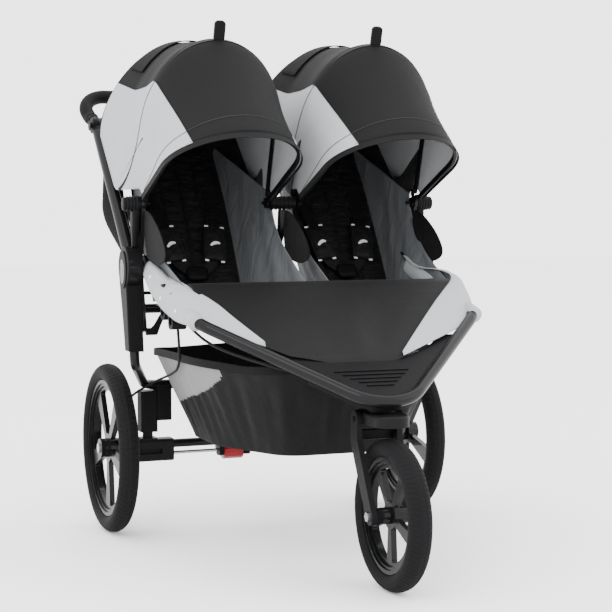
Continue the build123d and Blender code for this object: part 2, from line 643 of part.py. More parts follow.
# ---- handlebar ------------------------------------------------------------------------------------
PIVOT_HALF = 13.0  # each tilt joint is split across UPPER_X into an outer and an inner disc
PIVOT_FACE = 0.4  # from the split to each disc
with BuildPart() as handle_pivots:  # the outer discs, plugged into the upper tubes
    for side, _ in SIDES:
        x = low_x(side, UPPER_X + PIVOT_FACE, UPPER_X + PIVOT_HALF)
        with BuildSketch(side_plane(x, HANDLE_Y, HANDLE_Z)):
            Circle(PIVOT_R)
        extrude(amount=PIVOT_HALF - PIVOT_FACE)
        for start, length, radius in ((30, 26, PLUG_R), (5.8, 14, UPPER_OD / 2)):
            y, z = polar(UPPER_LENGTH - PIVOT_R - start, UPPER_RISE)
            with BuildSketch(Plane(origin=at(side * UPPER_X, y, z), z_dir=upper_along)):
                Circle(radius)
            extrude(amount=length)
        x = low_x(side, UPPER_X - PIVOT_HALF - 3, UPPER_X + PIVOT_HALF + 3)
        with BuildSketch(side_plane(x, HANDLE_Y, HANDLE_Z)):
            Circle(PIN_R + RUN)
        extrude(amount=2 * PIVOT_HALF + 6, mode=Mode.SUBTRACT)
        x = low_x(side, UPPER_X - PIVOT_HALF - 3, UPPER_X + PIVOT_FACE)
        with BuildSketch(side_plane(x, HANDLE_Y, HANDLE_Z)):
            Circle(PIVOT_R + 0.8)
        extrude(amount=PIVOT_HALF + 3 + PIVOT_FACE, mode=Mode.SUBTRACT)
        x = low_x(side, UPPER_X + PIVOT_HALF, UPPER_X + PIVOT_HALF + 3)
        with BuildSketch(side_plane(x, HANDLE_Y, HANDLE_Z)):
            Circle(PIVOT_R + 9)
        extrude(amount=3, mode=Mode.SUBTRACT)
save(handle_pivots, "handle_pivots")

BAR_OD = 25.0
GRIP_OD = 33.0
BAR_Y, BAR_Z = 322.0, 1026.0  # the handlebar's long run across
bar = [(346.5, HANDLE_Y, HANDLE_Z), (356, 262, 972), (372, BAR_Y, BAR_Z)]
grip = [(353.5, 245, 966)] + bar[1:]


def both_sides(half):
    """A path given from its right end to the middle's corner, run left to right across the middle."""
    return [at(-x, y, z) for x, y, z in half] + [at(x, y, z) for x, y, z in reversed(half)]


with BuildLine() as bar_run:
    FilletPolyline(*both_sides(bar), radius=[60, 55, 55, 60])
bar_start = Plane(origin=bar_run.line @ 0, z_dir=bar_run.line % 0)
with BuildPart() as handlebar_tube:
    with BuildSketch(bar_start):
        Circle(BAR_OD / 2)
        Circle(BAR_OD / 2 - TUBE_WALL, mode=Mode.SUBTRACT)
    sweep(path=bar_run.line)
    for side, _ in SIDES:
        x = low_x(side, UPPER_X - PIVOT_HALF, UPPER_X - PIVOT_FACE)
        with BuildSketch(side_plane(x, HANDLE_Y, HANDLE_Z)):
            Circle(PIVOT_R)
        extrude(amount=PIVOT_HALF - PIVOT_FACE)
        x = low_x(side, UPPER_X - PIVOT_FACE, UPPER_X + PIVOT_HALF + 2)
        with BuildSketch(side_plane(x, HANDLE_Y, HANDLE_Z)):
            Circle(PIVOT_R + 9)
        extrude(amount=PIVOT_HALF + 2 + PIVOT_FACE, mode=Mode.SUBTRACT)
        x = low_x(side, UPPER_X - PIVOT_HALF - 1, UPPER_X + 1)
        with BuildSketch(side_plane(x, HANDLE_Y, HANDLE_Z)):
            Circle(PIN_R + RUN)
        extrude(amount=PIVOT_HALF + 2, mode=Mode.SUBTRACT)
save(handlebar_tube, "handlebar_tube")

with BuildPart() as handlebar_grip:
    with BuildLine() as run:
        FilletPolyline(*both_sides(grip), radius=[30, 55, 55, 30])
    with BuildSketch(Plane(origin=run.line @ 0, z_dir=run.line % 0)):
        Circle(GRIP_OD / 2)
    sweep()
    with BuildSketch(bar_start):
        Circle(BAR_OD / 2)
    sweep(path=bar_run.line, mode=Mode.SUBTRACT)
save(handlebar_grip, "handlebar_grip")

BUTTON_TRAVEL = 4.0  # gap under each button's head
for side, name in SIDES:
    head = UPPER_X + PIVOT_HALF + BUTTON_TRAVEL
    with BuildPart() as handle_button:
        with BuildSketch(side_plane(low_x(side, UPPER_X - 6, head), HANDLE_Y, HANDLE_Z)):
            Circle(PIN_R)
        extrude(amount=head - UPPER_X + 6)
        with BuildSketch(side_plane(low_x(side, head, head + 2), HANDLE_Y, HANDLE_Z)):
            Circle(PIVOT_R - 7)
        extrude(amount=2)
    save(handle_button, f"handle_button_{name}")

LEVER_X = 190.0
MOUNT_WIDE = 22.0
LEVER_PIN_R = 4.0
LEVER_EDGE = [(8, 9), (-8, 9), (-14, 2), (-120, -14), (-124, -22), (-116, -27), (-10, -12), (8, -9)]
with BuildPart() as hand_brake_mount:
    with BuildSketch(side_plane(LEVER_X, BAR_Y, BAR_Z)):
        RectangleRounded(44, 42, 12)
        Circle(GRIP_OD / 2 + 0.2, mode=Mode.SUBTRACT)
    extrude(amount=MOUNT_WIDE)
    with BuildSketch(Plane(origin=at(LEVER_X + MOUNT_WIDE / 2, BAR_Y, BAR_Z - 34))):
        RectangleRounded(20, 30, 4)
        Circle(LEVER_PIN_R + RUN, mode=Mode.SUBTRACT)
    extrude(amount=14.5)
save(hand_brake_mount, "hand_brake_mount")

with BuildPart() as hand_brake_lever:
    with BuildSketch(Plane(origin=at(LEVER_X + MOUNT_WIDE / 2, BAR_Y, BAR_Z - 45))):
        with BuildLine():
            Polyline(*LEVER_EDGE, close=True)
        make_face()
        fillet(vertices(), 3)
    extrude(amount=10)
    with BuildSketch(Plane(origin=at(LEVER_X + MOUNT_WIDE / 2, BAR_Y, BAR_Z - 36))):
        Circle(LEVER_PIN_R)
    extrude(amount=14)
save(hand_brake_lever, "hand_brake_lever")

# ---- canopies ---------------------------------------------------------------------------------------
FRONT_BOW, MIDDLE_BOW = 66.0, 17.0  # degrees ahead of upright
BOW_SHAPES = {  # angle: half width, height of the straight sides, rise of the round top
    FRONT_BOW: (146.0, 202.0, 160.0),
    MIDDLE_BOW: (146.0, 205.0, 166.0),
}
BOW_HALF_WIDE = 6.0  # half of each bow's strip, along the canopy
TAB_X, TAB_Y, TAB_THICK = 25.0, 46.0, 7.0
ARM_FOOT, ARM_TOP = 24.0, 34.0  # where the bows' end arms join their strips, from the hinge
END_SHIFT = CANOPY_X + BOW_SHAPES[FRONT_BOW][0] + BOW - (PLATE_IN - GAP)


def canopy_plane(middle, angle):
    """Plane through the canopy hinge, this many degrees ahead of upright: sketch y runs outward."""
    a = radians(angle)
    return Plane(origin=at(middle, CANOPY_Y, CANOPY_Z), x_dir=(1, 0, 0), z_dir=(0, -cos(a), -sin(a)))


def arch(half, straight, rise, grow, foot):
    """Arch outline as a face: straight sides from foot up, elliptical top, grown outward."""
    with BuildSketch() as face:
        with Locations((0, straight)):
            Ellipse(half + grow, rise + grow)
        with Locations((0, straight - 200)):
            Rectangle(2 * (half + grow) + 10, 400, mode=Mode.SUBTRACT)
        with Locations((0, (straight + foot) / 2)):
            Rectangle(2 * (half + grow), straight - foot)
    return face.sketch


def arm_area(angle):
    """Hinge disc and arm of a bow's end, in a side plane at the canopy hinge."""
    a = radians(90 + angle)
    out, across = (cos(a), sin(a)), (-sin(a) * BOW_HALF_WIDE, cos(a) * BOW_HALF_WIDE)
    with BuildSketch() as area:
        Circle(12)
        with BuildLine():
            Polyline(
                (across[0], across[1]),
                (across[0] + ARM_TOP * out[0], across[1] + ARM_TOP * out[1]),
                (-across[0] + ARM_TOP * out[0], -across[1] + ARM_TOP * out[1]),
                (-across[0], -across[1]),
                close=True,
            )
        make_face()
        Circle(CANOPY_PIN_R + RUN, mode=Mode.SUBTRACT)
    return area.sketch


for side, name in SIDES:
    for angle, part_name in ((FRONT_BOW, "front"), (MIDDLE_BOW, "middle")):
        half, straight, rise = BOW_SHAPES[angle]
        strip_plane = canopy_plane(side * CANOPY_X, angle).offset(-BOW_HALF_WIDE)
        with BuildPart() as bow:
            with BuildSketch(strip_plane):
                add(arch(half, straight, rise, BOW, 28))
                add(arch(half, straight, rise, 0, 10), mode=Mode.SUBTRACT)
            extrude(amount=2 * BOW_HALF_WIDE)
            for end in (-1, 1):
                shift = END_SHIFT if end == side else 0  # outer ends sit inboard of the side plates
                middle = end * (half + BOW / 2 - shift)
                x = side * CANOPY_X + middle - BOW / 2
                with BuildSketch(side_plane(x, CANOPY_Y, CANOPY_Z)):
                    add(arm_area(angle))
                extrude(amount=BOW / 2 - 0.2 if part_name == "front" else BOW)
                if part_name == "middle":
                    with BuildSketch(side_plane(x, CANOPY_Y, CANOPY_Z)):
                        Circle(17)
                    extrude(amount=BOW / 2, mode=Mode.SUBTRACT)
                with BuildSketch(strip_plane):
                    with Locations((middle + end * shift / 2, (ARM_FOOT + ARM_TOP) / 2)):
                        Rectangle(BOW + shift, ARM_TOP - ARM_FOOT)
                extrude(amount=2 * BOW_HALF_WIDE)
            if part_name == "middle":
                with BuildSketch(canopy_plane(side * CANOPY_X, angle).offset(-TAB_THICK / 2)):
                    with Locations((0, straight + rise + BOW + 19)):
                        RectangleRounded(TAB_X, TAB_Y, 9)
                extrude(amount=TAB_THICK)
        save(bow, f"canopy_{part_name}_bow_{name}")

SEAM_FOOT = (20.0, 765.0)  # the seam over the upper tube, behind the middle bow
SEAM_TOP = (-34.0, 1136.0)
REAR_FOOT = (178.0, 912.0)  # the rear edge, from beside the handle pivot
REAR_TOP = (26.0, 1140.0)
CANOPY_HALF = 170.0


def edge_plane(middle, foot, top):
    """Plane across the canopy through a foot line and a top point: sketch y runs from foot to top."""
    dy, dz = top[0] - foot[0], top[1] - foot[1]
    return Plane(origin=at(middle, *foot), x_dir=(1, 0, 0), z_dir=(0, -dz, dy))


def edge_length(foot, top):
    """Distance from a foot line to its top."""
    return hypot(top[0] - foot[0], top[1] - foot[1])


BOW_CLEAR = BOW + 3.6  # the fabric's chords fall between the bows, so it stands this far outside
edge_shapes = [(SEAM_FOOT, SEAM_TOP, 40, 30), (REAR_FOOT, REAR_TOP, 30, 26)]
for side, name in SIDES:
    middle = side * CANOPY_X
    sections = []
    for angle in (FRONT_BOW, MIDDLE_BOW):
        half, straight, rise = BOW_SHAPES[angle]
        plane = canopy_plane(middle, angle)
        sections.append((plane, half + BOW_CLEAR, straight, rise + BOW_CLEAR, ARM_TOP + 2))
    for foot_place, top_place, straight, foot in edge_shapes:
        rise = edge_length(foot_place, top_place) - straight
        plane = edge_plane(middle, foot_place, top_place)
        sections.append((plane, CANOPY_HALF, straight, rise, foot))
    with BuildPart() as canopy_fabric:
        for grow, drop, mode in ((FABRIC, 0, Mode.ADD), (0, 10, Mode.SUBTRACT)):
            for pair in zip(sections, sections[1:]):
                for plane, half, straight, rise, foot in pair:
                    with BuildSketch(plane):
                        add(arch(half, straight, rise, grow, foot - drop))
                loft(ruled=True, mode=mode)
        plane, half, straight, rise, foot = sections[-1]
        with BuildSketch(plane):
            add(arch(half, straight, rise, FABRIC, foot))
        extrude(amount=-FABRIC)
        _, straight, rise = BOW_SHAPES[MIDDLE_BOW]
        with BuildSketch(canopy_plane(middle, MIDDLE_BOW).offset(-TAB_THICK / 2 - 1)):
            with Locations((0, straight + rise + BOW + 19)):
                Rectangle(TAB_X + 2, TAB_Y + 4)
        extrude(amount=TAB_THICK + 2, mode=Mode.SUBTRACT)  # slot for the middle bow's tab
    save(canopy_fabric, f"canopy_fabric_{name}")

# ---- seats, harnesses, gussets, footwell panel, basket ---------------------------------------------------
SEAT_FRONT = (-375.0, 585.0)
SEAT_REAR = (-104.0, 549.0)
SEAT_THICK = 24.0
with BuildPart() as seat_bases:
    for side, _ in SIDES:
        with BuildSketch(side_plane(low_x(side, 2 * CANOPY_X - SEAT_OUT, SEAT_OUT))):
            with BuildLine():
                low_rear = (SEAT_REAR[0], SEAT_REAR[1] - SEAT_THICK)
                low_front = (SEAT_FRONT[0], SEAT_FRONT[1] - SEAT_THICK)
                Polyline(SEAT_FRONT, SEAT_REAR, low_rear, low_front, close=True)
            make_face()
            fillet(vertices(), 8)
        extrude(amount=2 * (SEAT_OUT - CANOPY_X))
save(seat_bases, "seat_bases")

BACK_FACE = 16.4  # the seat back's face ahead of its pivot
PAD_Y = (66.0, 150.0)
STRAP_EDGE = [(61, 262), (86, 262), (62, PAD_Y[0]), (30, 36), (10, 36), (37, PAD_Y[0])]
for side, name in SIDES:
    seat_plane = Plane(
        origin=at(side * CANOPY_X, SEAT_PIVOT_Y, SEAT_PIVOT_Z),
        x_dir=(1, 0, 0),
        z_dir=(0, -sin(radians(SEAT_BACK_ANGLE)), cos(radians(SEAT_BACK_ANGLE))),
    )
    wide = SEAT_OUT - CANOPY_X
    with BuildPart() as seat_back:
        with BuildSketch(seat_plane.offset(BACK_FACE - SEAT_BACK_THICK)):
            with Locations((0, SEAT_BACK_LENGTH / 2)):
                RectangleRounded(2 * wide, SEAT_BACK_LENGTH, 20)
        extrude(amount=SEAT_BACK_THICK)
        with BuildSketch(side_plane(side * CANOPY_X - wide + 20, SEAT_PIVOT_Y, SEAT_PIVOT_Z)):
            Circle(9)
        extrude(amount=2 * wide - 40)
        with BuildSketch(side_plane(side * CANOPY_X - wide - 1, SEAT_PIVOT_Y, SEAT_PIVOT_Z)):
            Circle(SEAT_ROD_R + RUN)
        extrude(amount=2 * wide + 2, mode=Mode.SUBTRACT)
    save(seat_back, f"seat_back_{name}")

    with BuildPart() as harness:
        for end in (-1, 1):
            with BuildSketch(seat_plane.offset(BACK_FACE + GAP)):
                with BuildLine():
                    Polyline(*[(end * x, y) for x, y in STRAP_EDGE], close=True)
                make_face()
            extrude(amount=2)
            with BuildSketch(seat_plane.offset(BACK_FACE + GAP + 1)):
                with Locations((end * 55, sum(PAD_Y) / 2)):
                    RectangleRounded(46, PAD_Y[1] - PAD_Y[0], 8)
            extrude(amount=11)
        with BuildSketch(seat_plane.offset(BACK_FACE + GAP)):
            with Locations((0, 34)):
                RectangleRounded(54, 40, 12)
        extrude(amount=16)
    save(harness, f"harness_{name}")

GUSSET_EDGE = [(-156, 752), (-222, 706), (-294, 640), (-268, 614), (-190, 640), (-156, 664)]
with BuildPart() as side_gussets:
    for x in (-PLATE_IN + 0.3, -1, PLATE_IN - 1.8):
        with BuildSketch(side_plane(x)):
            with BuildLine():
                Polyline(*GUSSET_EDGE, close=True)
            make_face()
            fillet(vertices(), 10)
        extrude(amount=1.5)
save(side_gussets, "side_gussets")

PANEL_TOP = (-391.0, 599.0)
PANEL_SLOPE = 0.632
panel_plane = Plane(
    origin=at(0, *PANEL_TOP), x_dir=(1, 0, 0), z_dir=Vector(0, -PANEL_SLOPE, 1).normalized()
)
panel_edge = [
    (318, -391), (318, -430), (288, -482), (238, -516), (195, -556), (140, -594), (70, -616), (0, -621),
]
with BuildPart() as footwell_panel:
    with BuildSketch(panel_plane.offset(-3)):
        with BuildLine():
            stretch = hypot(1, PANEL_SLOPE)
            outline = [(x, (y - PANEL_TOP[0]) * stretch) for x, y in panel_edge]
            Polyline(*outline, *[(-x, y) for x, y in reversed(outline[:-1])], close=True)
        make_face()
    extrude(amount=3)
save(footwell_panel, "footwell_panel")

BASKET_RIM_Z, BASKET_FLOOR_Z = 440.0, 236.0
BASKET_WALL = 3.0
BASKET_RIM = (300, 184, -52, -380, -592)  # half width at the rear and front, then Y of rear, turn and front
BASKET_FLOOR = (220, 128, -123, -320, -513)


def basket_area(half, front_half, rear, turn, front, inset):
    """Six-sided outline that narrows toward the front as the frame does, set in by a wall."""
    with BuildSketch() as area:
        with BuildLine():
            right = [(half - inset, rear - inset), (half - inset, turn), (front_half - inset, front + inset)]
            Polyline(*right, *[(-x, y) for x, y in reversed(right)], close=True)
        make_face()
        fillet(vertices(), 45 - inset)
    return area.sketch


with BuildPart() as basket:
    for inset, lift, mode in ((0, 0, Mode.ADD), (BASKET_WALL, BASKET_WALL, Mode.SUBTRACT)):
        with BuildSketch(Plane(origin=at(0, 0, BASKET_RIM_Z + (1 if inset else 0)))):
            add(basket_area(*BASKET_RIM, inset))
        with BuildSketch(Plane(origin=at(0, 0, BASKET_FLOOR_Z + lift))):
            add(basket_area(*BASKET_FLOOR, inset))
        loft(ruled=True, mode=mode)
save(basket, "basket")

# ---- cables, held along their whole route --------------------------------------------------------------
CABLE_OD = 6.0
SWIVEL_CABLE = [
    (-318, -385, 530), (-313, -432, 507), (-290, -500, 476), (-246, -572, 456), (-178, -622, 434),
    (-105, -640, 416), (-60, -659.5, 409),
]
BRAKE_CABLE = [
    (-338, 12, 212.6), (-341, 20, 262), (-336, 14, 300), (-322, -14, 322), (-302, -50, 343),
    (-289, -95, 360), (-288, -150, 373), (-290, -212, 387), (-294, -278, 404), (-305, -330, 440),
    (-318, -360, 497),
]


def bend_radii(points):
    """Arc radii that use 0.45 of the shorter run beside each corner."""
    radii = []
    for a, b, c in zip(points, points[1:], points[2:]):
        into, out = b - a, c - b
        turn = radians(into.get_angle(out))
        radii.append(0.45 * min(into.length, out.length) * cos(turn / 2) / sin(turn / 2))
    return radii


for node, places in (("swivel_cable", SWIVEL_CABLE), ("brake_cable", BRAKE_CABLE)):
    points = [at(*p) for p in places]
    radii = bend_radii(points)
    with BuildPart() as cable:
        with BuildLine() as run:
            FilletPolyline(*points, radius=radii)
        with BuildSketch(Plane(origin=run.line @ 0, z_dir=run.line % 0)):
            Circle(CABLE_OD / 2)
        sweep()
    save(cable, node)
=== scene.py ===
"""Visual model of the side-by-side jogging stroller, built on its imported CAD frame.

Metres, +Z up, front at -Y. Left is -X, as seen from in front.
"""

import bmesh
import bpy
import numpy as np
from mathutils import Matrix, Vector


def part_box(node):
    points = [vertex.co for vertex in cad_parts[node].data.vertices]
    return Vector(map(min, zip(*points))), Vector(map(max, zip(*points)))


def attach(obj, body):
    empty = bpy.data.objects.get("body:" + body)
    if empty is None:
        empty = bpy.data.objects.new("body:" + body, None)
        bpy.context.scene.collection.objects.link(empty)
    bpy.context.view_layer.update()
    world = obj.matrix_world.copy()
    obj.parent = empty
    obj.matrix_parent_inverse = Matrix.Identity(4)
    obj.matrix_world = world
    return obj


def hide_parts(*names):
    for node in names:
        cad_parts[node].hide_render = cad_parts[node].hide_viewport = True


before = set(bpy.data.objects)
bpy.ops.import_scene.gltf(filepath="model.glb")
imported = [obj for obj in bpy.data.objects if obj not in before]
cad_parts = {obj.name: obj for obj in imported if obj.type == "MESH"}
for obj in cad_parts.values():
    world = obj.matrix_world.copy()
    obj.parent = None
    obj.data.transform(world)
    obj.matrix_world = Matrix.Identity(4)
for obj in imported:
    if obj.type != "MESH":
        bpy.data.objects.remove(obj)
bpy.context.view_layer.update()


def set_inputs(node, values):
    """Set a shader node's inputs by name."""
    for input_name, value in values.items():
        node.inputs[input_name].default_value = value


# ---- Studio ---------------------------------------------------------------------------------------
# A plain pale floor, a pale surround and three large soft lamps. The camera is 0.8 m up, ahead of
# the stroller and on the side named left, which is -X.
axle_low, axle_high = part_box("rear_axle_tube")
AXLE_Y = (axle_low.y + axle_high.y) / 2  # places below are given from the rear axle, as in the CAD

CAMERA_LENS = 97.2
CAMERA_PLACE = (-1.3138, -3.7322 + AXLE_Y, 0.7934)
CAMERA_DIP = 3.994  # degrees below level
CAMERA_TURN = -20.898  # degrees round Z from looking along +Y
SURROUND_STRENGTH = 3.4

scene = bpy.context.scene
camera_data = bpy.data.cameras.new("camera")
camera_data.lens = CAMERA_LENS
camera = bpy.data.objects.new("camera", camera_data)
camera.location = CAMERA_PLACE
camera.rotation_euler = np.radians((90 - CAMERA_DIP, 0, CAMERA_TURN))
scene.collection.objects.link(camera)
scene.camera = camera

world = bpy.data.worlds.new("surround")
world.use_nodes = True
set_inputs(world.node_tree.nodes["Background"], {"Color": (1, 1, 1, 1),
                                                 "Strength": SURROUND_STRENGTH})
scene.world = world

for lamp_name, place, aim, size, power in (
    ("key_lamp", (-2.6, -2.6, 3.2), (50, 0, -45), 2.4, 90),
    ("fill_lamp", (2.8, -2.2, 2.0), (60, 0, 50), 2.4, 30),
    ("top_lamp", (0.2, 0.4, 3.6), (0, 0, 0), 2.0, 30),
):
    lamp_data = bpy.data.lights.new(lamp_name, "AREA")
    lamp_data.size = size
    lamp_data.energy = power
    lamp = bpy.data.objects.new(lamp_name, lamp_data)
    lamp.location = place
    lamp.rotation_euler = np.radians(aim)
    scene.collection.objects.link(lamp)


def grid_faces(rows, columns, wrap=False):
    """Quads of a grid of points held row by row; wrap joins the last column to the first."""
    r, c = np.meshgrid(np.arange(rows - 1), np.arange(columns if wrap else columns - 1), indexing="ij")
    nxt = (c + 1) % columns
    quads = np.stack([r * columns + c, r * columns + nxt, (r + 1) * columns + nxt, (r + 1) * columns + c], -1)
    return quads.reshape(-1, 4)


def surface(name, points, wrap=False, caps=False, turn=False):
    """A mesh from a (rows, columns, 3) array; its UV map is the length along columns and rows, in metres."""
    rows, columns = points.shape[:2]
    faces = grid_faces(rows, columns, wrap)
    u = np.zeros((rows, columns))
    v = np.zeros((rows, columns))
    u[:, 1:] = np.cumsum(np.linalg.norm(np.diff(points, axis=1), axis=2), axis=1)
    v[1:, :] = np.cumsum(np.linalg.norm(np.diff(points, axis=0), axis=2), axis=0)
    if turn:
        faces = faces[:, ::-1]
    listed = faces.tolist()
    if caps:
        first, last = np.arange(columns), (rows - 1) * columns + np.arange(columns)
        listed += [first[::-1].tolist(), last.tolist()] if not turn else [first.tolist(), last[::-1].tolist()]
    mesh = bpy.data.meshes.new(name)
    mesh.from_pydata(points.reshape(-1, 3).tolist(), [], listed)
    layer = mesh.uv_layers.new(name="cloth")
    loops = np.concatenate([np.array(f) for f in listed]) if caps else faces.ravel()
    uv = np.stack([u.ravel()[loops], v.ravel()[loops]], 1)
    layer.data.foreach_set("uv", uv.astype(np.float32).ravel())
    mesh.polygons.foreach_set("use_smooth", np.ones(len(mesh.polygons), bool))
    mesh.update()
    piece = bpy.data.objects.new(name, mesh)
    scene.collection.objects.link(piece)
    return piece


CLOTH_THICK = 0.0012


def thicken(piece, thickness, offset=-1):
    """Give a sheet its thickness: offset -1 builds to the back of its faces, 1 to the front, 0 to both."""
    cloth_wall = piece.modifiers.new("cloth_wall", "SOLIDIFY")
    cloth_wall.thickness = thickness
    cloth_wall.offset = offset


def mount(piece, material, body):
    """Give a piece its material and the body that carries it."""
    piece.data.materials.append(material)
    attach(piece, body)


def face_outward(piece, weld=0.0, extra=None):
    """Add a second mesh, join points closer than weld, and turn every face outward."""
    solid = bmesh.new()
    solid.from_mesh(piece.data)
    if extra:
        solid.from_mesh(extra)
    if weld:
        bmesh.ops.remove_doubles(solid, verts=solid.verts, dist=weld)
    bmesh.ops.recalc_face_normals(solid, faces=solid.faces)
    solid.to_mesh(piece.data)
    solid.free()


floor_x, floor_y = np.meshgrid(np.linspace(-14, 14, 3), np.linspace(-9, 14, 3))
floor = surface("floor", np.stack([floor_x, floor_y, np.zeros_like(floor_x)], -1))
floor_finish = bpy.data.materials.new("pale_floor")
floor_finish.use_nodes = True
set_inputs(floor_finish.node_tree.nodes["Principled BSDF"], {"Base Color": (0.93, 0.93, 0.93, 1),
                                                             "Roughness": 0.9})
floor.data.materials.append(floor_finish)

# ---- Brake cable and swivel cable ------------------------------------------------------------------
# Two thin black housings: one runs from the left rear casting up to the seat tube clamp, the
# other from the left rail under the nose to the swivel lock.


def finish(name, colour, roughness, grain=0.0, grain_size=0.002, worn=0.06, metal=0.0, sheen=0.0, coat=0.0):
    """A hard finish: fine noise in the height, slow noise in the roughness and the colour."""
    made = bpy.data.materials.new(name)
    made.use_nodes = True
    nodes, links = made.node_tree.nodes, made.node_tree.links
    shader = nodes["Principled BSDF"]
    set_inputs(shader, {"Metallic": metal, "Sheen Weight": sheen, "Coat Weight": coat,
                        "Specular IOR Level": 0.06})
    where = nodes.new("ShaderNodeTexCoord")
    slow = nodes.new("ShaderNodeTexNoise")
    set_inputs(slow, {"Scale": 14, "Detail": 6})
    links.new(where.outputs["Object"], slow.inputs["Vector"])
    shade = nodes.new("ShaderNodeMapRange")
    set_inputs(shade, {"To Min": roughness - worn, "To Max": roughness + worn})
    links.new(slow.outputs["Fac"], shade.inputs["Value"])
    links.new(shade.outputs["Result"], shader.inputs["Roughness"])
    tint = nodes.new("ShaderNodeMix")
    tint.data_type = "RGBA"
    set_inputs(tint, {"A": (*[c * 0.82 for c in colour], 1),
                      "B": (*[min(1, c * 1.18) for c in colour], 1)})
    links.new(slow.outputs["Fac"], tint.inputs["Factor"])
    links.new(tint.outputs["Result"], shader.inputs["Base Color"])
    if grain:
        fine = nodes.new("ShaderNodeTexNoise")
        set_inputs(fine, {"Scale": 1 / grain_size, "Detail": 3})
        links.new(where.outputs["Object"], fine.inputs["Vector"])
        bump = nodes.new("ShaderNodeBump")
        set_inputs(bump, {"Strength": grain, "Distance": 0.0004})
        links.new(fine.outputs["Fac"], bump.inputs["Height"])
        links.new(bump.outputs["Normal"], shader.inputs["Normal"])
    return made


cable_skin = finish("cable_skin", (0.007, 0.007, 0.0072), 0.42, grain=0.2)
CABLE_R = 0.003
CABLES = {
    "brake_cable": ("rear_frame", [
        (-338, 12, 212.6), (-341, 20, 262), (-336, 14, 300), (-322, -14, 322), (-302, -50, 343),
        (-289, -95, 360), (-288, -150, 373), (-290, -212, 387), (-294, -278, 404), (-305, -330, 440),
        (-318, -360, 497),
    ]),
    "swivel_cable": ("front_frame", [
        (-318, -385, 530), (-313, -432, 507), (-290, -500, 476), (-246, -572, 456), (-178, -622, 434),
        (-105, -640, 416), (-60, -659.5, 409),
    ]),
}
for node, (body, route) in CABLES.items():
    places = np.array(route) / 1000 + (0, AXLE_Y, 0)
    line = bpy.data.curves.new(f"{node}_line", "CURVE")
    line.dimensions = "3D"
    line.bevel_depth = CABLE_R
    line.bevel_resolution = 4
    line.use_fill_caps = True
    spline = line.splines.new("NURBS")
    spline.points.add(len(places) - 1)
    spline.points.foreach_set("co", np.c_[places, np.ones(len(places))].ravel())
    spline.order_u = 3
    spline.use_endpoint_u = True
    spline.resolution_u = 12
    cable = bpy.data.objects.new(f"{node}_housing", line)
    scene.collection.objects.link(cable)
    line.materials.append(cable_skin)
    bare = line.copy()
    bare.bevel_depth = 0
    probe = bpy.data.objects.new("probe", bare)
    scene.collection.objects.link(probe)
    measured = bpy.data.meshes.new_from_object(probe.evaluated_get(bpy.context.evaluated_depsgraph_get()))
    track = np.zeros(len(measured.vertices) * 3)
    measured.vertices.foreach_get("co", track)
    bpy.data.objects.remove(probe)
    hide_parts(node)
    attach(cable, body)

# ---- Frame tubes and hinges ------------------------------------------------------------------------
# Aluminium tubes with a dark satin powder coat, with steel pins and moulded clamps.


def dress(material, *node_names):
    """Give CAD nodes one material."""
    for node_name in node_names:
        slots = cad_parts[node_name].data.materials
        slots.clear()
        slots.append(material)


powder_coat = finish("powder_coat", (0.005, 0.005, 0.0055), 0.34, grain=0.25, grain_size=0.0016, coat=0.15)
bright_steel = finish("bright_steel", (0.35, 0.35, 0.36), 0.28, grain=0.1, metal=1.0)
moulded = finish("moulded_nylon", (0.004, 0.004, 0.0045), 0.5, grain=0.5, grain_size=0.0012)
casting = finish("coated_casting", (0.006, 0.006, 0.0065), 0.45, grain=0.6, grain_size=0.0022)
dress(powder_coat, "front_frame_tube", "front_hinge_lugs", "seat_cross_tubes", "upper_tubes",
      "upper_hinge_hubs", "side_plates", "rear_seat_tubes", "centre_post", "handlebar_tube",
      "hand_brake_lever", "rear_cross_tube", "rear_axle_tube")
dress(bright_steel, "fold_hinge_pins", "front_axle", "brake_rod", "hub_cap_left",
      "hub_cap_right", "suspension_springs")
dress(moulded, "canopy_pins", "rail_clamps", "foot_tray", "swivel_housing", "centre_canopy_hub",
      "handle_pivots",
      "canopy_middle_bow_left", "canopy_middle_bow_right", "canopy_front_bow_left",
      "canopy_front_bow_right", "hand_brake_mount", "handle_button_left", "handle_button_right",
      "rear_legs", "hinge_covers", "suspension_pods", "lock_hook_arm", "lock_hook", "brake_brackets")
dress(casting, "fork_crown", "fork_legs", "axle_castings")


def place(x, y, z):
    """A point given in millimetres from the ground under the rear axle, in the frame's metres."""
    return np.array((x / 1000, y / 1000 + AXLE_Y, z / 1000))


def carried(name, path, profile, caps=True, turn=False, up=(0, 0, 1)):
    """A closed profile (columns of two widths) carried along a path of points, square to it."""
    path = np.asarray(path, float)
    along = np.gradient(path, axis=0)
    along /= np.linalg.norm(along, axis=1)[:, None]
    side = np.cross(along, np.asarray(up, float))
    side /= np.linalg.norm(side, axis=1)[:, None]
    lift = np.cross(side, along)
    profile = np.asarray(profile, float)
    if profile.ndim == 2:
        profile = np.repeat(profile[None], len(path), 0)
    points = path[:, None] + side[:, None] * profile[..., 0:1] + lift[:, None] * profile[..., 1:2]
    return surface(name, points, wrap=True, caps=caps, turn=turn)


def round_profile(radius, count=24):
    """A circle of that radius as columns of two widths."""
    a = np.linspace(0, 2 * np.pi, count, endpoint=False)
    return np.stack([np.cos(a) * radius, np.sin(a) * radius], 1)


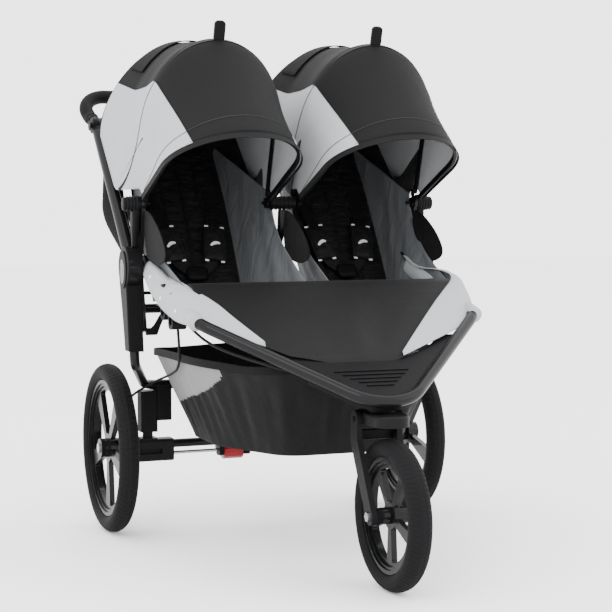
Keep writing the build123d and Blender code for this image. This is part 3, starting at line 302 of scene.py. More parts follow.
def smooth_path(points, count=40):
    """A quadratic blend through the middles of the runs between given points, ends kept."""
    p = np.asarray(points, float)
    middles = np.vstack([p[:1], (p[:-1] + p[1:])[1:-1] / 2, p[-1:]]) if len(p) > 3 else None
    if middles is None:
        t = np.linspace(0, 1, count)[:, None]
        return p[0] * (1 - t) ** 2 + 2 * p[1] * t * (1 - t) + p[-1] * t**2
    share = np.linspace(0, 1, max(2, count // (len(middles) - 1)), endpoint=False)[:, None]
    runs = [a * (1 - share) ** 2 + 2 * b * share * (1 - share) + c * share**2
            for a, b, c in zip(middles[:-1], p[1:-1], middles[1:])]
    return np.vstack([*runs, p[-1:]])


# ---- Hinge badges ----------------------------------------------------------------------------------
# An oval metal rim with a plain recessed disc, on the outside of each fold hinge. Both ride on the
# rear legs' hinge covers.
badge_face = finish("badge_face", (0.01, 0.01, 0.011), 0.22, coat=0.4)
badge_rim = finish("badge_rim", (0.16, 0.16, 0.17), 0.3, metal=0.7)
for side, name in ((-1, "left"), (1, "right")):
    turn_angle = np.linspace(0, 2 * np.pi, 64, endpoint=False)
    centre = place(side * 377.2, -121, 612)
    loop = centre + np.stack([np.zeros(64), np.cos(turn_angle) * 0.017, np.sin(turn_angle) * 0.027], 1)
    points = np.array([centre + (side * dx, 0, 0) + (loop - centre) * (1, k, k)
                       for k, dx in ((1.0, 0.0), (1.0, 0.0007), (0.88, 0.0007), (0.84, 0.0))])
    rim = surface(f"hinge_badge_rim_{name}", points, wrap=True, turn=side < 0)
    mount(rim, badge_rim, "rear_frame")
    levels = np.linspace(0.86, 0.02, 10)
    points = np.array([centre + (side * 0.0004 * (1 - k), 0, 0) + (loop - centre) * (1, k, k)
                       for k in levels])
    face = surface(f"hinge_badge_face_{name}", points, wrap=True, turn=side < 0)
    mount(face, badge_face, "rear_frame")

# ---- Wheels ------------------------------------------------------------------------------------------
# Pneumatic tyres with a block tread, cut into the surface, on moulded rims. Each tyre turns with its
# own wheel.
rubber = finish("tyre_rubber", (0.006, 0.006, 0.0065), 0.72, grain=0.5, grain_size=0.0014)
rim_gloss = finish("rim_plastic", (0.004, 0.004, 0.0045), 0.33, grain=0.15, coat=0.2)
dress(rim_gloss, "front_rim", "rear_rim_left", "rear_rim_right")


def tread(turned, across):
    """Groove depth share: two round grooves, and cross grooves that lean and swap sides."""
    rings = np.exp(-(((np.abs(across) - 0.2) / 0.035) ** 2))
    lean = np.where(across > 0, turned + across * 0.05, turned - across * 0.05 + np.pi / 90)
    bars = np.clip(np.sin(lean * 90) * 3 - 1.6, 0, 1) * (np.abs(across) > 0.24) * (np.abs(across) < 0.92)
    middle = np.clip(np.sin(turned * 90) * 3 - 2.2, 0, 1) * (np.abs(across) < 0.18)
    return np.maximum(np.maximum(rings, bars), middle * 0.6)


def make_tyre(node, body, depth, groove):
    """Ring of an oval section round an axle along X, its tread cut in by the groove depth."""
    low, high = (np.array(c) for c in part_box(node))
    centre, outer, width = (low + high) / 2, (high[2] - low[2]) / 2, high[0] - low[0]
    turned, around = np.meshgrid(np.linspace(0, 2 * np.pi, 720), np.linspace(-2.45, 2.45, 61), indexing="ij")
    across = around / 1.15
    inward = groove * tread(turned, across) * (np.abs(across) < 0.95)
    rib = 0.0005 * np.cos(around * 26) * (np.abs(across) > 1.15) * (np.abs(across) < 1.8)
    radial = outer - depth / 2 + (depth / 2 - inward + rib) * np.cos(around)
    sideways = (width / 2 - inward * 0.7) * np.sin(around) * 0.995
    points = np.stack([centre[0] + sideways, centre[1] + radial * np.cos(turned),
                       centre[2] + radial * np.sin(turned)], -1)
    tyre = surface(f"{node}_treaded", points)
    face_outward(tyre, 1e-6)
    tyre.data.materials.append(rubber)
    wall = tyre.modifiers.new("wall", "SOLIDIFY")
    wall.thickness = 0.003
    wall.offset = -1
    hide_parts(node)
    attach(tyre, body)


make_tyre("front_tyre", "front_wheel", 0.040, 0.0013)
make_tyre("rear_tyre_left", "rear_wheel_left", 0.042, 0.0015)
make_tyre("rear_tyre_right", "rear_wheel_right", 0.042, 0.0015)

# ---- Brake pedal -----------------------------------------------------------------------------------
# A glossy red nylon pedal on the steel brake rod, with the shape of its CAD piece. It turns with
# the rod.
dress(finish("red_nylon", (0.22, 0.004, 0.008), 0.3, grain=0.1, coat=0.3), "brake_pedal")

# ---- Handlebar grip ----------------------------------------------------------------------------------
# Closed-cell foam over the top of the bar, with a hard ring round the bar at each end. Both tilt
# with the handlebar.
dress(finish("foam_rubber", (0.005, 0.005, 0.0055), 0.62, grain=0.7, grain_size=0.0018), "handlebar_grip")
for side, name in ((-1, "left"), (1, "right")):
    ends = [place(side * 352.6, 240, 963.7), place(side * 354.5, 252, 968.3)]
    ring = carried(f"grip_ring_{name}", np.linspace(ends[0], ends[1], 6), round_profile(0.0155, 36))
    mount(ring, powder_coat, "handlebar")

# ---- Canopies ------------------------------------------------------------------------------------------
# Each canopy is one sheet of proofed woven polyester over two bows: a black top, pale grey sides,
# a bound front hem, and a black rear panel with a lifting flap. It rides on the upper frame.


def woven(name, colour, thread=0.0009, folds=0.25, fold_size=0.09, roughness=0.8, sheen=0.02, stretch=1.0):
    """Cloth: warp and weft from two waves on the UV map, slow noise for creases and for colour."""
    made = bpy.data.materials.new(name)
    made.use_nodes = True
    nodes, links = made.node_tree.nodes, made.node_tree.links
    shader = nodes["Principled BSDF"]
    set_inputs(shader, {"Roughness": roughness, "Sheen Weight": sheen, "Sheen Roughness": 0.4,
                        "Specular IOR Level": 0.12})
    where = nodes.new("ShaderNodeTexCoord")
    threads = []
    for axis in ("X", "Y"):
        wave = nodes.new("ShaderNodeTexWave")
        wave.bands_direction = axis
        set_inputs(wave, {"Scale": 0.314 / thread, "Distortion": 0.6, "Detail": 1})
        links.new(where.outputs["UV"], wave.inputs["Vector"])
        threads.append(wave)
    weave = nodes.new("ShaderNodeMath")
    weave.operation = "MULTIPLY"
    links.new(threads[0].outputs["Fac"], weave.inputs[0])
    links.new(threads[1].outputs["Fac"], weave.inputs[1])
    crease = nodes.new("ShaderNodeTexNoise")
    set_inputs(crease, {"Scale": 1 / fold_size, "Detail": 4, "Distortion": 0.8})
    stretched = nodes.new("ShaderNodeMapping")
    stretched.inputs["Scale"].default_value = (1, 1, stretch)
    links.new(where.outputs["Object"], stretched.inputs["Vector"])
    links.new(stretched.outputs["Vector"], crease.inputs["Vector"])
    low_bump = nodes.new("ShaderNodeBump")
    set_inputs(low_bump, {"Strength": folds, "Distance": 0.02})
    links.new(crease.outputs["Fac"], low_bump.inputs["Height"])
    fine_bump = nodes.new("ShaderNodeBump")
    set_inputs(fine_bump, {"Strength": 0.35, "Distance": 0.0003})
    links.new(weave.outputs["Value"], fine_bump.inputs["Height"])
    links.new(low_bump.outputs["Normal"], fine_bump.inputs["Normal"])
    links.new(fine_bump.outputs["Normal"], shader.inputs["Normal"])
    blotch = nodes.new("ShaderNodeMapRange")
    set_inputs(blotch, {"To Min": 0.3, "To Max": 0.7})
    links.new(crease.outputs["Fac"], blotch.inputs["Value"])
    thread_tint = nodes.new("ShaderNodeMath")
    thread_tint.operation = "MULTIPLY_ADD"
    thread_tint.inputs[1].default_value = 0.25
    links.new(weave.outputs["Value"], thread_tint.inputs[0])
    links.new(blotch.outputs["Result"], thread_tint.inputs[2])
    tint = nodes.new("ShaderNodeMix")
    tint.data_type = "RGBA"
    set_inputs(tint, {"A": (*[c * 0.86 for c in colour], 1),
                      "B": (*[min(1, c * 1.1) for c in colour], 1)})
    links.new(thread_tint.outputs["Value"], tint.inputs["Factor"])
    links.new(tint.outputs["Result"], shader.inputs["Base Color"])
    return made


black_cloth = woven("black_cloth", (0.004, 0.004, 0.0042), sheen=0.0, folds=0.12, fold_size=0.16)
grey_cloth = woven("grey_cloth", (0.33, 0.34, 0.352), folds=0.2, fold_size=0.12)
stitch_thread = finish("stitch_thread", (0.03, 0.03, 0.032), 0.7)
dark_thread = finish("dark_thread", (0.012, 0.012, 0.012), 0.7)
binding_tape = woven("binding_tape", (0.004, 0.004, 0.0042), thread=0.0012, folds=0.05)

HINGE = (-134.0, 765.0)
SEAT_X = 187.0  # middle of each seat and canopy, in millimetres from the stroller's middle
COLUMNS = 121
GREY_COLUMNS = 40  # columns of grey cloth up each side
around = np.linspace(0, 1, COLUMNS)


def arch_line(centre_x, origin, outward, half, straight, rise, foot, border):
    """Arch in a tilted plane: straight sides over the first and last fifths, half an oval between.
    The colours meet at the border share, which always falls on the same column."""
    marks = np.array([0, GREY_COLUMNS, COLUMNS - 1 - GREY_COLUMNS, COLUMNS - 1]) / (COLUMNS - 1)
    along_arch = np.interp(around, marks, [0, border, 1 - border, 1])
    turned = np.pi * np.clip((along_arch - 0.2) / 0.6, 0, 1)
    climb = foot + (straight - foot) * np.clip(np.minimum(along_arch, 1 - along_arch) / 0.2, 0, 1)
    x = -half * np.cos(turned)
    height = np.where((along_arch > 0.2) & (along_arch < 0.8), straight + rise * np.sin(turned), climb)
    return np.stack([centre_x + x, origin[0] + outward[0] * height, origin[1] + outward[1] * height], 1)


def hinge_arch(centre_x, angle, *shape):
    """An arch in a plane through the canopy hinge, this many degrees ahead of upright."""
    a = np.radians(angle)
    return arch_line(centre_x, HINGE, (-np.sin(a), np.cos(a)), *shape)


def edge_arch(centre_x, foot_place, top_place, half, straight, foot, border):
    """An arch in the plane through a foot place and a top place."""
    reach = np.subtract(top_place, foot_place)
    length = np.hypot(*reach)
    return arch_line(centre_x, foot_place, reach / length, half, straight, length - straight, foot, border)


def row_frame(points):
    """Millimetres from the rear axle's ground point to the frame's metres."""
    return points / 1000 + (0, AXLE_Y, 0)


def ribbon(name, path, normals, width, thick, material, body, lift=0.0008):
    """A flat band along a path: width across it, thickness along the surface normals."""
    path, normals = np.asarray(path, float), np.asarray(normals, float)
    along = np.gradient(path, axis=0)
    along /= np.linalg.norm(along, axis=1)[:, None]
    normals = normals / np.linalg.norm(normals, axis=1)[:, None]
    side = np.cross(along, normals)
    width = np.broadcast_to(width, len(path))[:, None]
    base = path + normals * lift
    loop = [base - side * width / 2, base + side * width / 2,
            base + side * width / 2 + normals * thick, base - side * width / 2 + normals * thick]
    band = surface(name, np.stack(loop, 1), wrap=True, caps=True)
    face_outward(band)
    band.data.polygons.foreach_set("use_smooth", np.zeros(len(band.data.polygons), bool))
    mount(band, material, body)
    return band


def read_grid(field, rows_at, columns_at):
    """Bilinear reading of a grid of points at fractional rows and columns."""
    r0 = np.floor(rows_at).astype(int)
    c0 = np.floor(np.clip(columns_at, 0, COLUMNS - 2)).astype(int)
    fr, fc = (rows_at - r0)[:, None], (columns_at - c0)[:, None]
    return ((field[r0, c0] * (1 - fr) + field[r0 + 1, c0] * fr) * (1 - fc)
            + (field[r0, c0 + 1] * (1 - fr) + field[r0 + 1, c0 + 1] * fr) * fc)


ROWS = 73
STITCH_ROW = 6  # the hem is sewn along this row of the sheet
SLIT_STEPS = 40
canopy_points = {}
for side, name in ((-1, "left"), (1, "right")):
    middle = side * SEAT_X
    key_lines = [
        hinge_arch(middle, 67.2, 154.5, 202, 168.5, 34, 0.345),
        hinge_arch(middle, 17, 154.5, 205, 174.5, 34, 0.288),
        edge_arch(middle, (20, 765), (-34, 1136), 170, 40, 30, 0.338),
        edge_arch(middle, (178, 912), (26, 1140), 170, 30, 26, 0.31),
    ]
    stops = np.array([0, 30, 54, 72]) / 72
    level = np.linspace(0, 1, ROWS)
    lines = np.empty((ROWS, COLUMNS, 3))
    for axis in range(3):
        stacked = np.stack([line[:, axis] for line in key_lines])
        for column in range(COLUMNS):
            lines[:, column, axis] = np.interp(level, stops, stacked[:, column])
    blend = np.ones(5) / 5
    smooth = lines.copy()
    for axis in range(3):
        for column in range(COLUMNS):
            smooth[2:-2, column, axis] = np.convolve(lines[:, column, axis], blend, "valid")
    ahead = np.clip(level / stops[1], 0, 1)
    behind = np.clip((level - stops[1]) / (stops[2] - stops[1]), 0, 1)
    sag = 5.0 * np.sin(np.pi * ahead) ** 2 + 4.0 * np.sin(np.pi * behind) ** 2
    heart = np.array([middle, 40.0, 880.0])
    inward = heart - smooth
    inward[..., 1] *= 0.2
    inward /= np.linalg.norm(inward, axis=2)[..., None]
    crown = np.sin(np.pi * around) ** 0.5
    ripple = 0.8 * np.sin(around * 60 + level[:, None] * 9) * np.sin(np.pi * ahead)[:, None]
    shell_points = row_frame(smooth + inward * (sag[:, None] * crown + ripple * (1 - crown))[..., None])
    shell = surface(f"canopy_sheet_{name}", shell_points)
    canopy_points[name] = shell_points
    for material in (black_cloth, grey_cloth):
        shell.data.materials.append(material)
    face_column = np.tile(np.arange(COLUMNS - 1), ROWS - 1)
    grey = (face_column < GREY_COLUMNS) | (face_column >= COLUMNS - 1 - GREY_COLUMNS)
    shell.data.polygons.foreach_set("material_index", grey.astype(np.int32))
    thicken(shell, CLOTH_THICK)
    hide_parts(f"canopy_fabric_{name}")
    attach(shell, "upper_frame")

    across_rows = np.gradient(shell_points, axis=0)
    across_columns = np.gradient(shell_points, axis=1)
    outward = np.cross(across_columns, across_rows)
    outward /= np.linalg.norm(outward, axis=2)[..., None]
    if outward[20, COLUMNS // 2, 2] < 0:
        outward = -outward
    ribbon(f"canopy_hem_{name}", shell_points[0], outward[0], 0.014, 0.0016, binding_tape,
           "upper_frame", -0.0002)
    keep = slice(3, COLUMNS - 3)
    ribbon(f"canopy_hem_stitch_{name}", shell_points[STITCH_ROW][keep], outward[STITCH_ROW][keep],
           0.0012, 0.0006, stitch_thread, "upper_frame", 0.0003)
    for edge, mirror in (("outer", side < 0), ("inner", side > 0)):
        pick = GREY_COLUMNS if mirror else COLUMNS - 1 - GREY_COLUMNS
        ribbon(f"canopy_seam_{edge}_{name}", shell_points[:, pick], outward[:, pick],
               0.0016, 0.0007, dark_thread, "upper_frame", 0.0003)
        climb = np.linspace(0.0, 1.0, SLIT_STEPS)
        at_level = stops[1] + (stops[2] * 0.93 - stops[1]) * (1 - climb) ** 1.4
        rows_at = at_level * (ROWS - 1)
        columns_at = climb * GREY_COLUMNS if mirror else COLUMNS - 1 - climb * GREY_COLUMNS
        widths = 0.0012 + 0.008 * np.clip(1 - climb / 0.55, 0, 1) ** 1.2
        ribbon(f"canopy_slit_{edge}_{name}", read_grid(shell_points, rows_at, columns_at),
               read_grid(outward, rows_at, columns_at), widths, 0.0008, dark_thread, "upper_frame", 0.0004)
    rear_rows = shell_points[-1]
    low_left, low_right = rear_rows[0], rear_rows[-1]
    fill = np.linspace(0, 1, 24)[:, None, None]
    part_way = (rear_rows[:, :1] - low_left[0]) / (low_right[0] - low_left[0])
    base_line = low_left + (low_right - low_left) * part_way + (0, -0.012, -0.06)
    panel_points = rear_rows[None] * (1 - fill) + base_line[None] * fill
    bulge = np.sin(np.pi * fill) * np.sin(np.pi * around)[None, :, None]
    panel_points = panel_points + bulge * np.array([0, 0.006, 0.004])
    rear_panel = surface(f"canopy_rear_panel_{name}", panel_points)
    thicken(rear_panel, CLOTH_THICK)
    mount(rear_panel, black_cloth, "upper_frame")

    flap_grid = np.ix_(np.arange(56, 70), np.arange(44, 78))
    flap_points = shell_points[flap_grid] + outward[flap_grid] * 0.0035
    flap = surface(f"canopy_window_flap_{name}", flap_points)
    thicken(flap, 0.002, 0)
    mount(flap, black_cloth, "upper_frame")

# ---- Canopy hinge boots -----------------------------------------------------------------------------
# A ribbed rubber boot covers each outer canopy hinge, with a clip below it on the side plate.
for side, name in ((-1, "left"), (1, "right")):
    spans = np.linspace(0, 1, 25)
    path = np.linspace(place(side * 339.4, -134, 764), place(side * 379, -134, 764), 25)
    radius = 0.0175 - 0.0035 * spans**3 + 0.0011 * np.cos(spans * 34)
    radius[0] *= 0.85
    radius[-1] *= 0.72
    boot = carried(f"canopy_boot_{name}", path, round_profile(1.0, 36)[None] * radius[:, None, None])
    mount(boot, moulded, "upper_frame")
    drop = np.linspace(0, 1, 22)
    post = np.stack([np.full(22, side * 349.0), -134 + 8 * drop, 754 - 88 * drop], 1)
    wide = np.interp(drop, [0, 0.15, 0.55, 0.7, 1], [0.012, 0.0155, 0.0145, 0.010, 0.008])
    deep = np.interp(drop, [0, 0.15, 0.55, 0.7, 1], [0.009, 0.0095, 0.0095, 0.008, 0.007])
    loop = round_profile(1.0, 28)
    loop = np.sign(loop) * np.abs(loop) ** 0.6
    profile = np.stack([loop[None, :, 0] * wide[:, None], loop[None, :, 1] * deep[:, None]], -1)
    clip = carried(f"canopy_clip_{name}", row_frame(post), profile, up=(1, 0, 0))
    mount(clip, moulded, "upper_frame")

# ---- Seats --------------------------------------------------------------------------------------------
# Foam pads in black nylon: a seat back with a middle seam, two strap seams and gathered cloth, and
# a seat pad between the front rails.


def padded(name, to_frame, half_wide, half_long, thick, channels, power=6, count=(73, 97)):
    """A crowned closed pad: a rounded outline squeezed to nothing at its rim, front and back alike.
    Height is thick times (1 - |a|^p)^0.5 (1 - |b|^p)^0.5, less the depth of each sewn channel."""
    a, b = np.meshgrid(np.linspace(-1, 1, count[0]), np.linspace(-1, 1, count[1]))
    pulled = 1 - 0.02 * (1 - np.cos(np.pi * b)) * (np.abs(a) > 0)
    crown = np.sqrt(np.clip(1 - np.abs(a) ** power, 0, 1)) * np.sqrt(np.clip(1 - np.abs(b) ** power, 0, 1))
    front = crown * thick * channels(a, b)
    back = -crown * thick * 0.35
    flat = np.stack([a * half_wide * pulled, b * half_long], -1)
    halves = [np.concatenate([flat, height[..., None]], -1) for height in (front, back)]
    front_piece = surface(name, to_frame(halves[0]))
    back_faces = grid_faces(count[1], count[0])[:, ::-1]
    offset_points = to_frame(halves[1]).reshape(-1, 3)
    extra = bpy.data.meshes.new("back_half")
    extra.from_pydata(offset_points.tolist(), [], back_faces.tolist())
    face_outward(front_piece, 1e-5, extra)
    bpy.data.meshes.remove(extra)
    front_piece.data.polygons.foreach_set("use_smooth", np.ones(len(front_piece.data.polygons), bool))
    front_piece.data.update()
    return front_piece


seat_cloth = woven("seat_cloth", (0.005, 0.005, 0.0055), folds=0.55, fold_size=0.05, roughness=0.55,
                   sheen=0.04, stretch=5)
BACK_TILT = np.radians(55.2)
PIVOT = np.array((0.0, -75.0, 560.0))
back_up = np.array((0, np.cos(BACK_TILT), np.sin(BACK_TILT)))
back_out = np.array((0, -np.sin(BACK_TILT), np.cos(BACK_TILT)))


def on_back(middle):
    """Places on a seat back: across, up from its pivot and out from its front face, in millimetres."""
    def to_frame(local):
        origin = PIVOT + (middle, 0, 0) + back_out * 16.4
        moved = origin + local[..., :1] * (1, 0, 0) + local[..., 1:2] * back_up + local[..., 2:] * back_out
        return row_frame(moved)
    return to_frame


def back_channels(a, b):
    """Sewn lines down the middle and beside each strap, with gathers across."""
    lines = sum(0.35 * np.exp(-(((a - c) / 0.03) ** 2)) for c in (-0.42, 0.0, 0.42))
    gathers = 0.10 * np.sin(b * 42 + 2.2 * np.sin(a * 5)) * np.abs(np.sin(a * 3.6))
    return 1 - lines + gathers


for side, name in ((-1, "left"), (1, "right")):
    middle = side * SEAT_X

    def seat_back_place(local, middle=middle):
        """The pad's middle sits half way up the seat back."""
        return on_back(middle)(local + (0, 215, -16.0))

    back = padded(f"seat_back_pad_{name}", seat_back_place, 114.5, 214.5, 17.0, back_channels)
    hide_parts(f"seat_back_{name}")
    mount(back, seat_cloth, f"seat_rest_{name}")

    seat_slope = np.arctan2(-36, 271)
    seat_along = np.array((0, np.cos(seat_slope), np.sin(seat_slope)))
    seat_up = np.array((0, -np.sin(seat_slope), np.cos(seat_slope)))

    def seat_place(local, middle=middle):
        """The seat pad's middle sits half way along the seat base, under its top face."""
        origin = np.array((middle, -239.5, 567.0)) - seat_up * 16
        return row_frame(origin + local[..., :1] * (1, 0, 0) + local[..., 1:2] * seat_along
                         + local[..., 2:] * seat_up)

    pad = padded(f"seat_pad_{name}", seat_place, 114.0, 134.0, 16.0,
                 lambda a, b: 1 - 0.3 * np.exp(-((a / 0.03) ** 2)))
    mount(pad, seat_cloth, "front_frame")
    if side < 0:
        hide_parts("seat_bases")

# ---- Harnesses ------------------------------------------------------------------------------------------
# Webbing shoulder straps through ladder locks, padded covers with pale end tabs, and a buckle.
webbing = woven("webbing", (0.006, 0.006, 0.0065), thread=0.0016, folds=0.02, roughness=0.5)
pale_tab = finish("pale_tab", (0.72, 0.72, 0.73), 0.5)
pad_cloth = woven("strap_pad_cloth", (0.007, 0.007, 0.0075), folds=0.45, fold_size=0.03, roughness=0.5)
for side, name in ((-1, "left"), (1, "right")):
    middle = side * SEAT_X
    to_frame = on_back(middle)
    body = f"seat_rest_{name}"
    for end, hand in ((-1, "a"), (1, "b")):
        route = np.array([(end * 73.5, 262, 1.5), (end * 68, 205, 4), (end * 61, 160, 10),
                          (end * 53, 110, 13), (end * 46, 66, 11), (end * 30, 48, 9), (end * 14, 40, 8)])
        path = smooth_path(route, 48)
        facing = np.repeat(back_out[None], len(path), 0)
        strap = ribbon(f"shoulder_strap_{hand}_{name}", to_frame(path), facing, 0.025, 0.0014, webbing,
                       body, 0.0)
        for n, up_by in enumerate((212, 178)):
            lock_middle = np.array((end * (71 - 6 * n), up_by, 9.0))
            t = np.linspace(-1, 1, 12)
            bar = np.stack([lock_middle[0] + t * 17, np.full(12, up_by),
                            lock_middle[2] + 1.2 * np.cos(t * 1.5)], 1)
            lock = carried(f"ladder_lock_{hand}{n}_{name}", to_frame(bar), round_profile(0.0022, 12),
                           up=back_out)
            mount(lock, moulded, body)

        lean = np.array((end * 0.155, 0.988))

        def pad_place(local, end=end, lean=lean):
            """The strap cover's middle lies on the strap, leaning with it."""
            x = end * 54 + local[..., :1] * lean[1] + local[..., 1:2] * lean[0]
            y = 110 + local[..., 1:2] * lean[1] - local[..., :1] * lean[0]
            return to_frame(np.concatenate([x, y, local[..., 2:] + 14], -1))

        cover = padded(f"strap_cover_{hand}_{name}", pad_place, 28, 47, 10,
                       lambda a, b: 1 - 0.25 * np.exp(-(((np.abs(a) - 0.8) / 0.06) ** 2)), count=(41, 61))
        mount(cover, pad_cloth, body)
        for n, (dx, dy) in enumerate(((-19, 45), (19, 45), (-19, -45), (19, -45))):
            t = np.linspace(-1, 1, 8)
            local = np.stack([dx + 0 * t, dy + 5 * t, 1.5 + 0 * t], 1)
            ribbon(f"cover_tab_{hand}{n}_{name}", pad_place(local), np.repeat(back_out[None], 8, 0),
                   0.009, 0.0012, pale_tab, body, 0.0)
        mark = np.linspace(-1, 1, 16)
        local = np.stack([14 * mark, -2 - 8 * mark**2 + 5 * mark, 9.7 - 1.0 * mark**2], 1)
        ribbon(f"cover_mark_{hand}_{name}", pad_place(local), np.repeat(back_out[None], 16, 0),
               0.002 + 0.006 * (1 - mark**2), 0.0009, pale_tab, body, 0.0)
    t = np.linspace(-1, 1, 25)
    line = np.stack([27 * t, 34 + 0 * t, 9 + 0 * t], 1)
    wide = 0.019 * np.clip(1 - np.abs(t) ** 6, 0.02, 1) ** 0.5
    deep = 0.0075 * np.clip(1 - np.abs(t) ** 4, 0.02, 1) ** 0.5
    loop = round_profile(1.0, 28)
    loop = np.sign(loop) * np.abs(loop) ** 0.7
    profile = np.stack([loop[None, :, 0] * wide[:, None], loop[None, :, 1] * deep[:, None]], -1)
    buckle = carried(f"harness_buckle_{name}", to_frame(line), profile, up=back_out)
    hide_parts(f"harness_{name}")
    mount(buckle, moulded, body)

# ---- Side walls of the seats ---------------------------------------------------------------------------
# Grey polyester walls close each seat between its back and the canopy hinges, and black outside.
# A black stretch gusset is sewn in below each hinge.
lining_cloth = woven("lining_cloth", (0.012, 0.012, 0.013), folds=0.5, fold_size=0.06)
inner_grey = woven("inner_grey_cloth", (0.10, 0.106, 0.112), folds=0.6, fold_size=0.05, stretch=0.35)
stretch_cloth = woven("stretch_cloth", (0.0035, 0.0035, 0.0035), thread=0.0007, folds=0.06, roughness=0.9)


def wall(name, rear_line, front_line, material, body, bow=0.0, rows=48, columns=40, droop=0.006):
    """A sheet from a rear edge to a front edge, bowed sideways and gathered toward its foot."""
    rear, front = smooth_path(rear_line, rows), smooth_path(front_line, rows)
    size = min(len(rear), len(front))
    rear, front = rear[:size], front[:size]
    s = np.linspace(0, 1, columns)[None, :, None]
    drop = np.linspace(0, 1, size)[:, None, None]
    points = rear[:, None] * (1 - s) + front[:, None] * s
    out = np.zeros_like(points)
    out[..., 0] = (bow * np.sin(np.pi * s) * np.sin(np.pi * drop * 0.9 + 0.2)
                   + droop * 1000 * 0.35 * np.sin(s * 19 + drop * 6) * drop)[..., 0]
    piece = surface(name, row_frame(points + out))
    thicken(piece, CLOTH_THICK, 0)
    mount(piece, material, body)
    return piece


def back_edge(x, low, high, out=-4.0, count=5):
    """Points up the seat back's edge at a given X."""
    steps = np.linspace(high, low, count)[:, None]
    return PIVOT * (0, 1, 1) + (x, 0, 0) + steps * back_up + out * back_out


for side, name in ((-1, "left"), (1, "right")):
    inner_x, outer_x = side * 80.0, side * 294.0
    front = [(side * 24, -126, 786), (side * 24, -132, 742), (side * 25, -180, 690), (side * 25, -260, 645),
             (side * 28, -386, 584)]
    inner = wall(f"seat_wall_inner_{name}", back_edge(inner_x, -22, 428), front, inner_grey, "upper_frame",
                 bow=-side * 6)
    front = [(side * 328, -126, 786), (side * 327, -132, 742), (side * 325, -175, 695),
             (side * 318, -250, 640), (side * 308, -384, 590)]
    outer = wall(f"seat_wall_outer_{name}", back_edge(outer_x, -22, 428), front, inner_grey, "upper_frame",
                 bow=side * 4)
    rear = smooth_path([(side * 304, 190, 900), (side * 306, 150, 800), (side * 306, 60, 690),
                        (side * 304, -20, 590)], 40)
    bulge = smooth_path([(side * 352, 140, 886), (side * 365, 98, 795), (side * 368, 100, 735),
                         (side * 344, 60, 672), (side * 318, 45, 622)], 40)
    front = smooth_path([(side * 333, 100, 880), (side * 333, 62, 810), (side * 333, 10, 740),
                         (side * 333, -60, 660)], 40)
    size = min(len(rear), len(bulge), len(front))
    s = np.linspace(0, 1, 24)[None, :, None]
    rear, bulge, front = rear[:size, None], bulge[:size, None], front[:size, None]
    points = rear * (1 - s) ** 2 + (2 * bulge - (rear + front) / 2) * 2 * s * (1 - s) + front * s**2
    skirt = surface(f"seat_wall_outside_{name}", row_frame(points))
    thicken(skirt, CLOTH_THICK, 0)
    mount(skirt, black_cloth, "upper_frame")


def closed_curve(corners, count=64):
    """A smooth closed curve near given corners: quadratic blends between the sides' middles."""
    p = np.asarray(corners, float)
    share = np.linspace(0, 1, count // len(p), endpoint=False)[:, None]
    before, after = (np.roll(p, 1, 0) + p) / 2, (np.roll(p, -1, 0) + p) / 2
    return np.vstack([a * (1 - share) ** 2 + 2 * b * share * (1 - share) + c * share**2
                      for a, b, c in zip(before, p, after)])


def domed(name, corners, count, x, dome, rings):
    """A sheet inside a smooth closed outline at a given X, with its middle pushed out by the dome."""
    edge = closed_curve(corners, count)
    heart = edge.mean(0)
    r = np.linspace(0.02, 1, rings)[:, None, None]
    flat = heart + (edge - heart)[None] * r
    points = np.concatenate([x + dome * (1 - r**2) + 0 * flat[..., :1], flat], -1)
    return surface(name, row_frame(points), wrap=True)


for side, name in ((-1, "left"), (1, "right")):
    shell_points = canopy_points[name]
    for edge, x_hub, x_back in (("inner", side * 24, side * 80), ("outer", side * 328, side * 294)):
        low = smooth_path(np.vstack([[(x_hub, -126, 784)], [(x_hub, -60, 800)],
                                     back_edge(x_back, 424, 424, count=1)]), 40)
        column = GREY_COLUMNS // 2 if (edge == "inner") == (side > 0) else COLUMNS - 1 - GREY_COLUMNS // 2
        high = shell_points[30:72:2, column]
        high = np.stack([np.interp(np.linspace(0, 1, len(low)), np.linspace(0, 1, len(high)), high[:, axis])
                         for axis in range(3)], 1)
        t = np.linspace(0, 1, 14)[None, :, None]
        lining = surface(f"seat_lining_{edge}_{name}", row_frame(low)[:, None] * (1 - t) + high[:, None] * t)
        thicken(lining, 0.001, 0)
        mount(lining, lining_cloth, "upper_frame")

GUSSET_EDGE = [(-146, 752), (-196, 744), (-280, 700), (-326, 650), (-270, 628), (-200, 634), (-150, 650)]
for name, x, dome in (("centre", 0, 2), ("left", -330.5, -1.5), ("right", 326, -5)):
    piece = domed(f"gusset_{name}", GUSSET_EDGE, 64, x, dome, 18)
    thicken(piece, 0.0016, 0)
    mount(piece, stretch_cloth, "upper_frame")
    if name == "centre":
        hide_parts("side_gussets")

CASING_EDGE = [(-146, 768), (-150, 700), (-118, 628), (-60, 674), (-8, 728), (34, 772), (-60, 776)]
for side, name in ((-1, "left"), (1, "right")):
    casing = domed(f"seat_side_cloth_{name}", CASING_EDGE, 70, side * 331, side * 2, 14)
    thicken(casing, CLOTH_THICK, 0)
    mount(casing, black_cloth, "upper_frame")

# ---- Footwell panel, wings and rail sleeves -----------------------------------------------------------
# A black apron runs from the seats' front edge down to the foot tray. Grey wings join it to the
# rails, and grey sleeves wrap the rails up to the fold hinges, held by snaps.
apron_cloth = woven("apron_cloth", (0.004, 0.004, 0.0043), folds=0.16, fold_size=0.14, roughness=0.6,
                    sheen=0.02)
PANEL_SLOPE = 0.632


def panel_z(y):
    """Height of the apron's plane at a depth, in millimetres."""
    return 599 + (y + 391) * PANEL_SLOPE


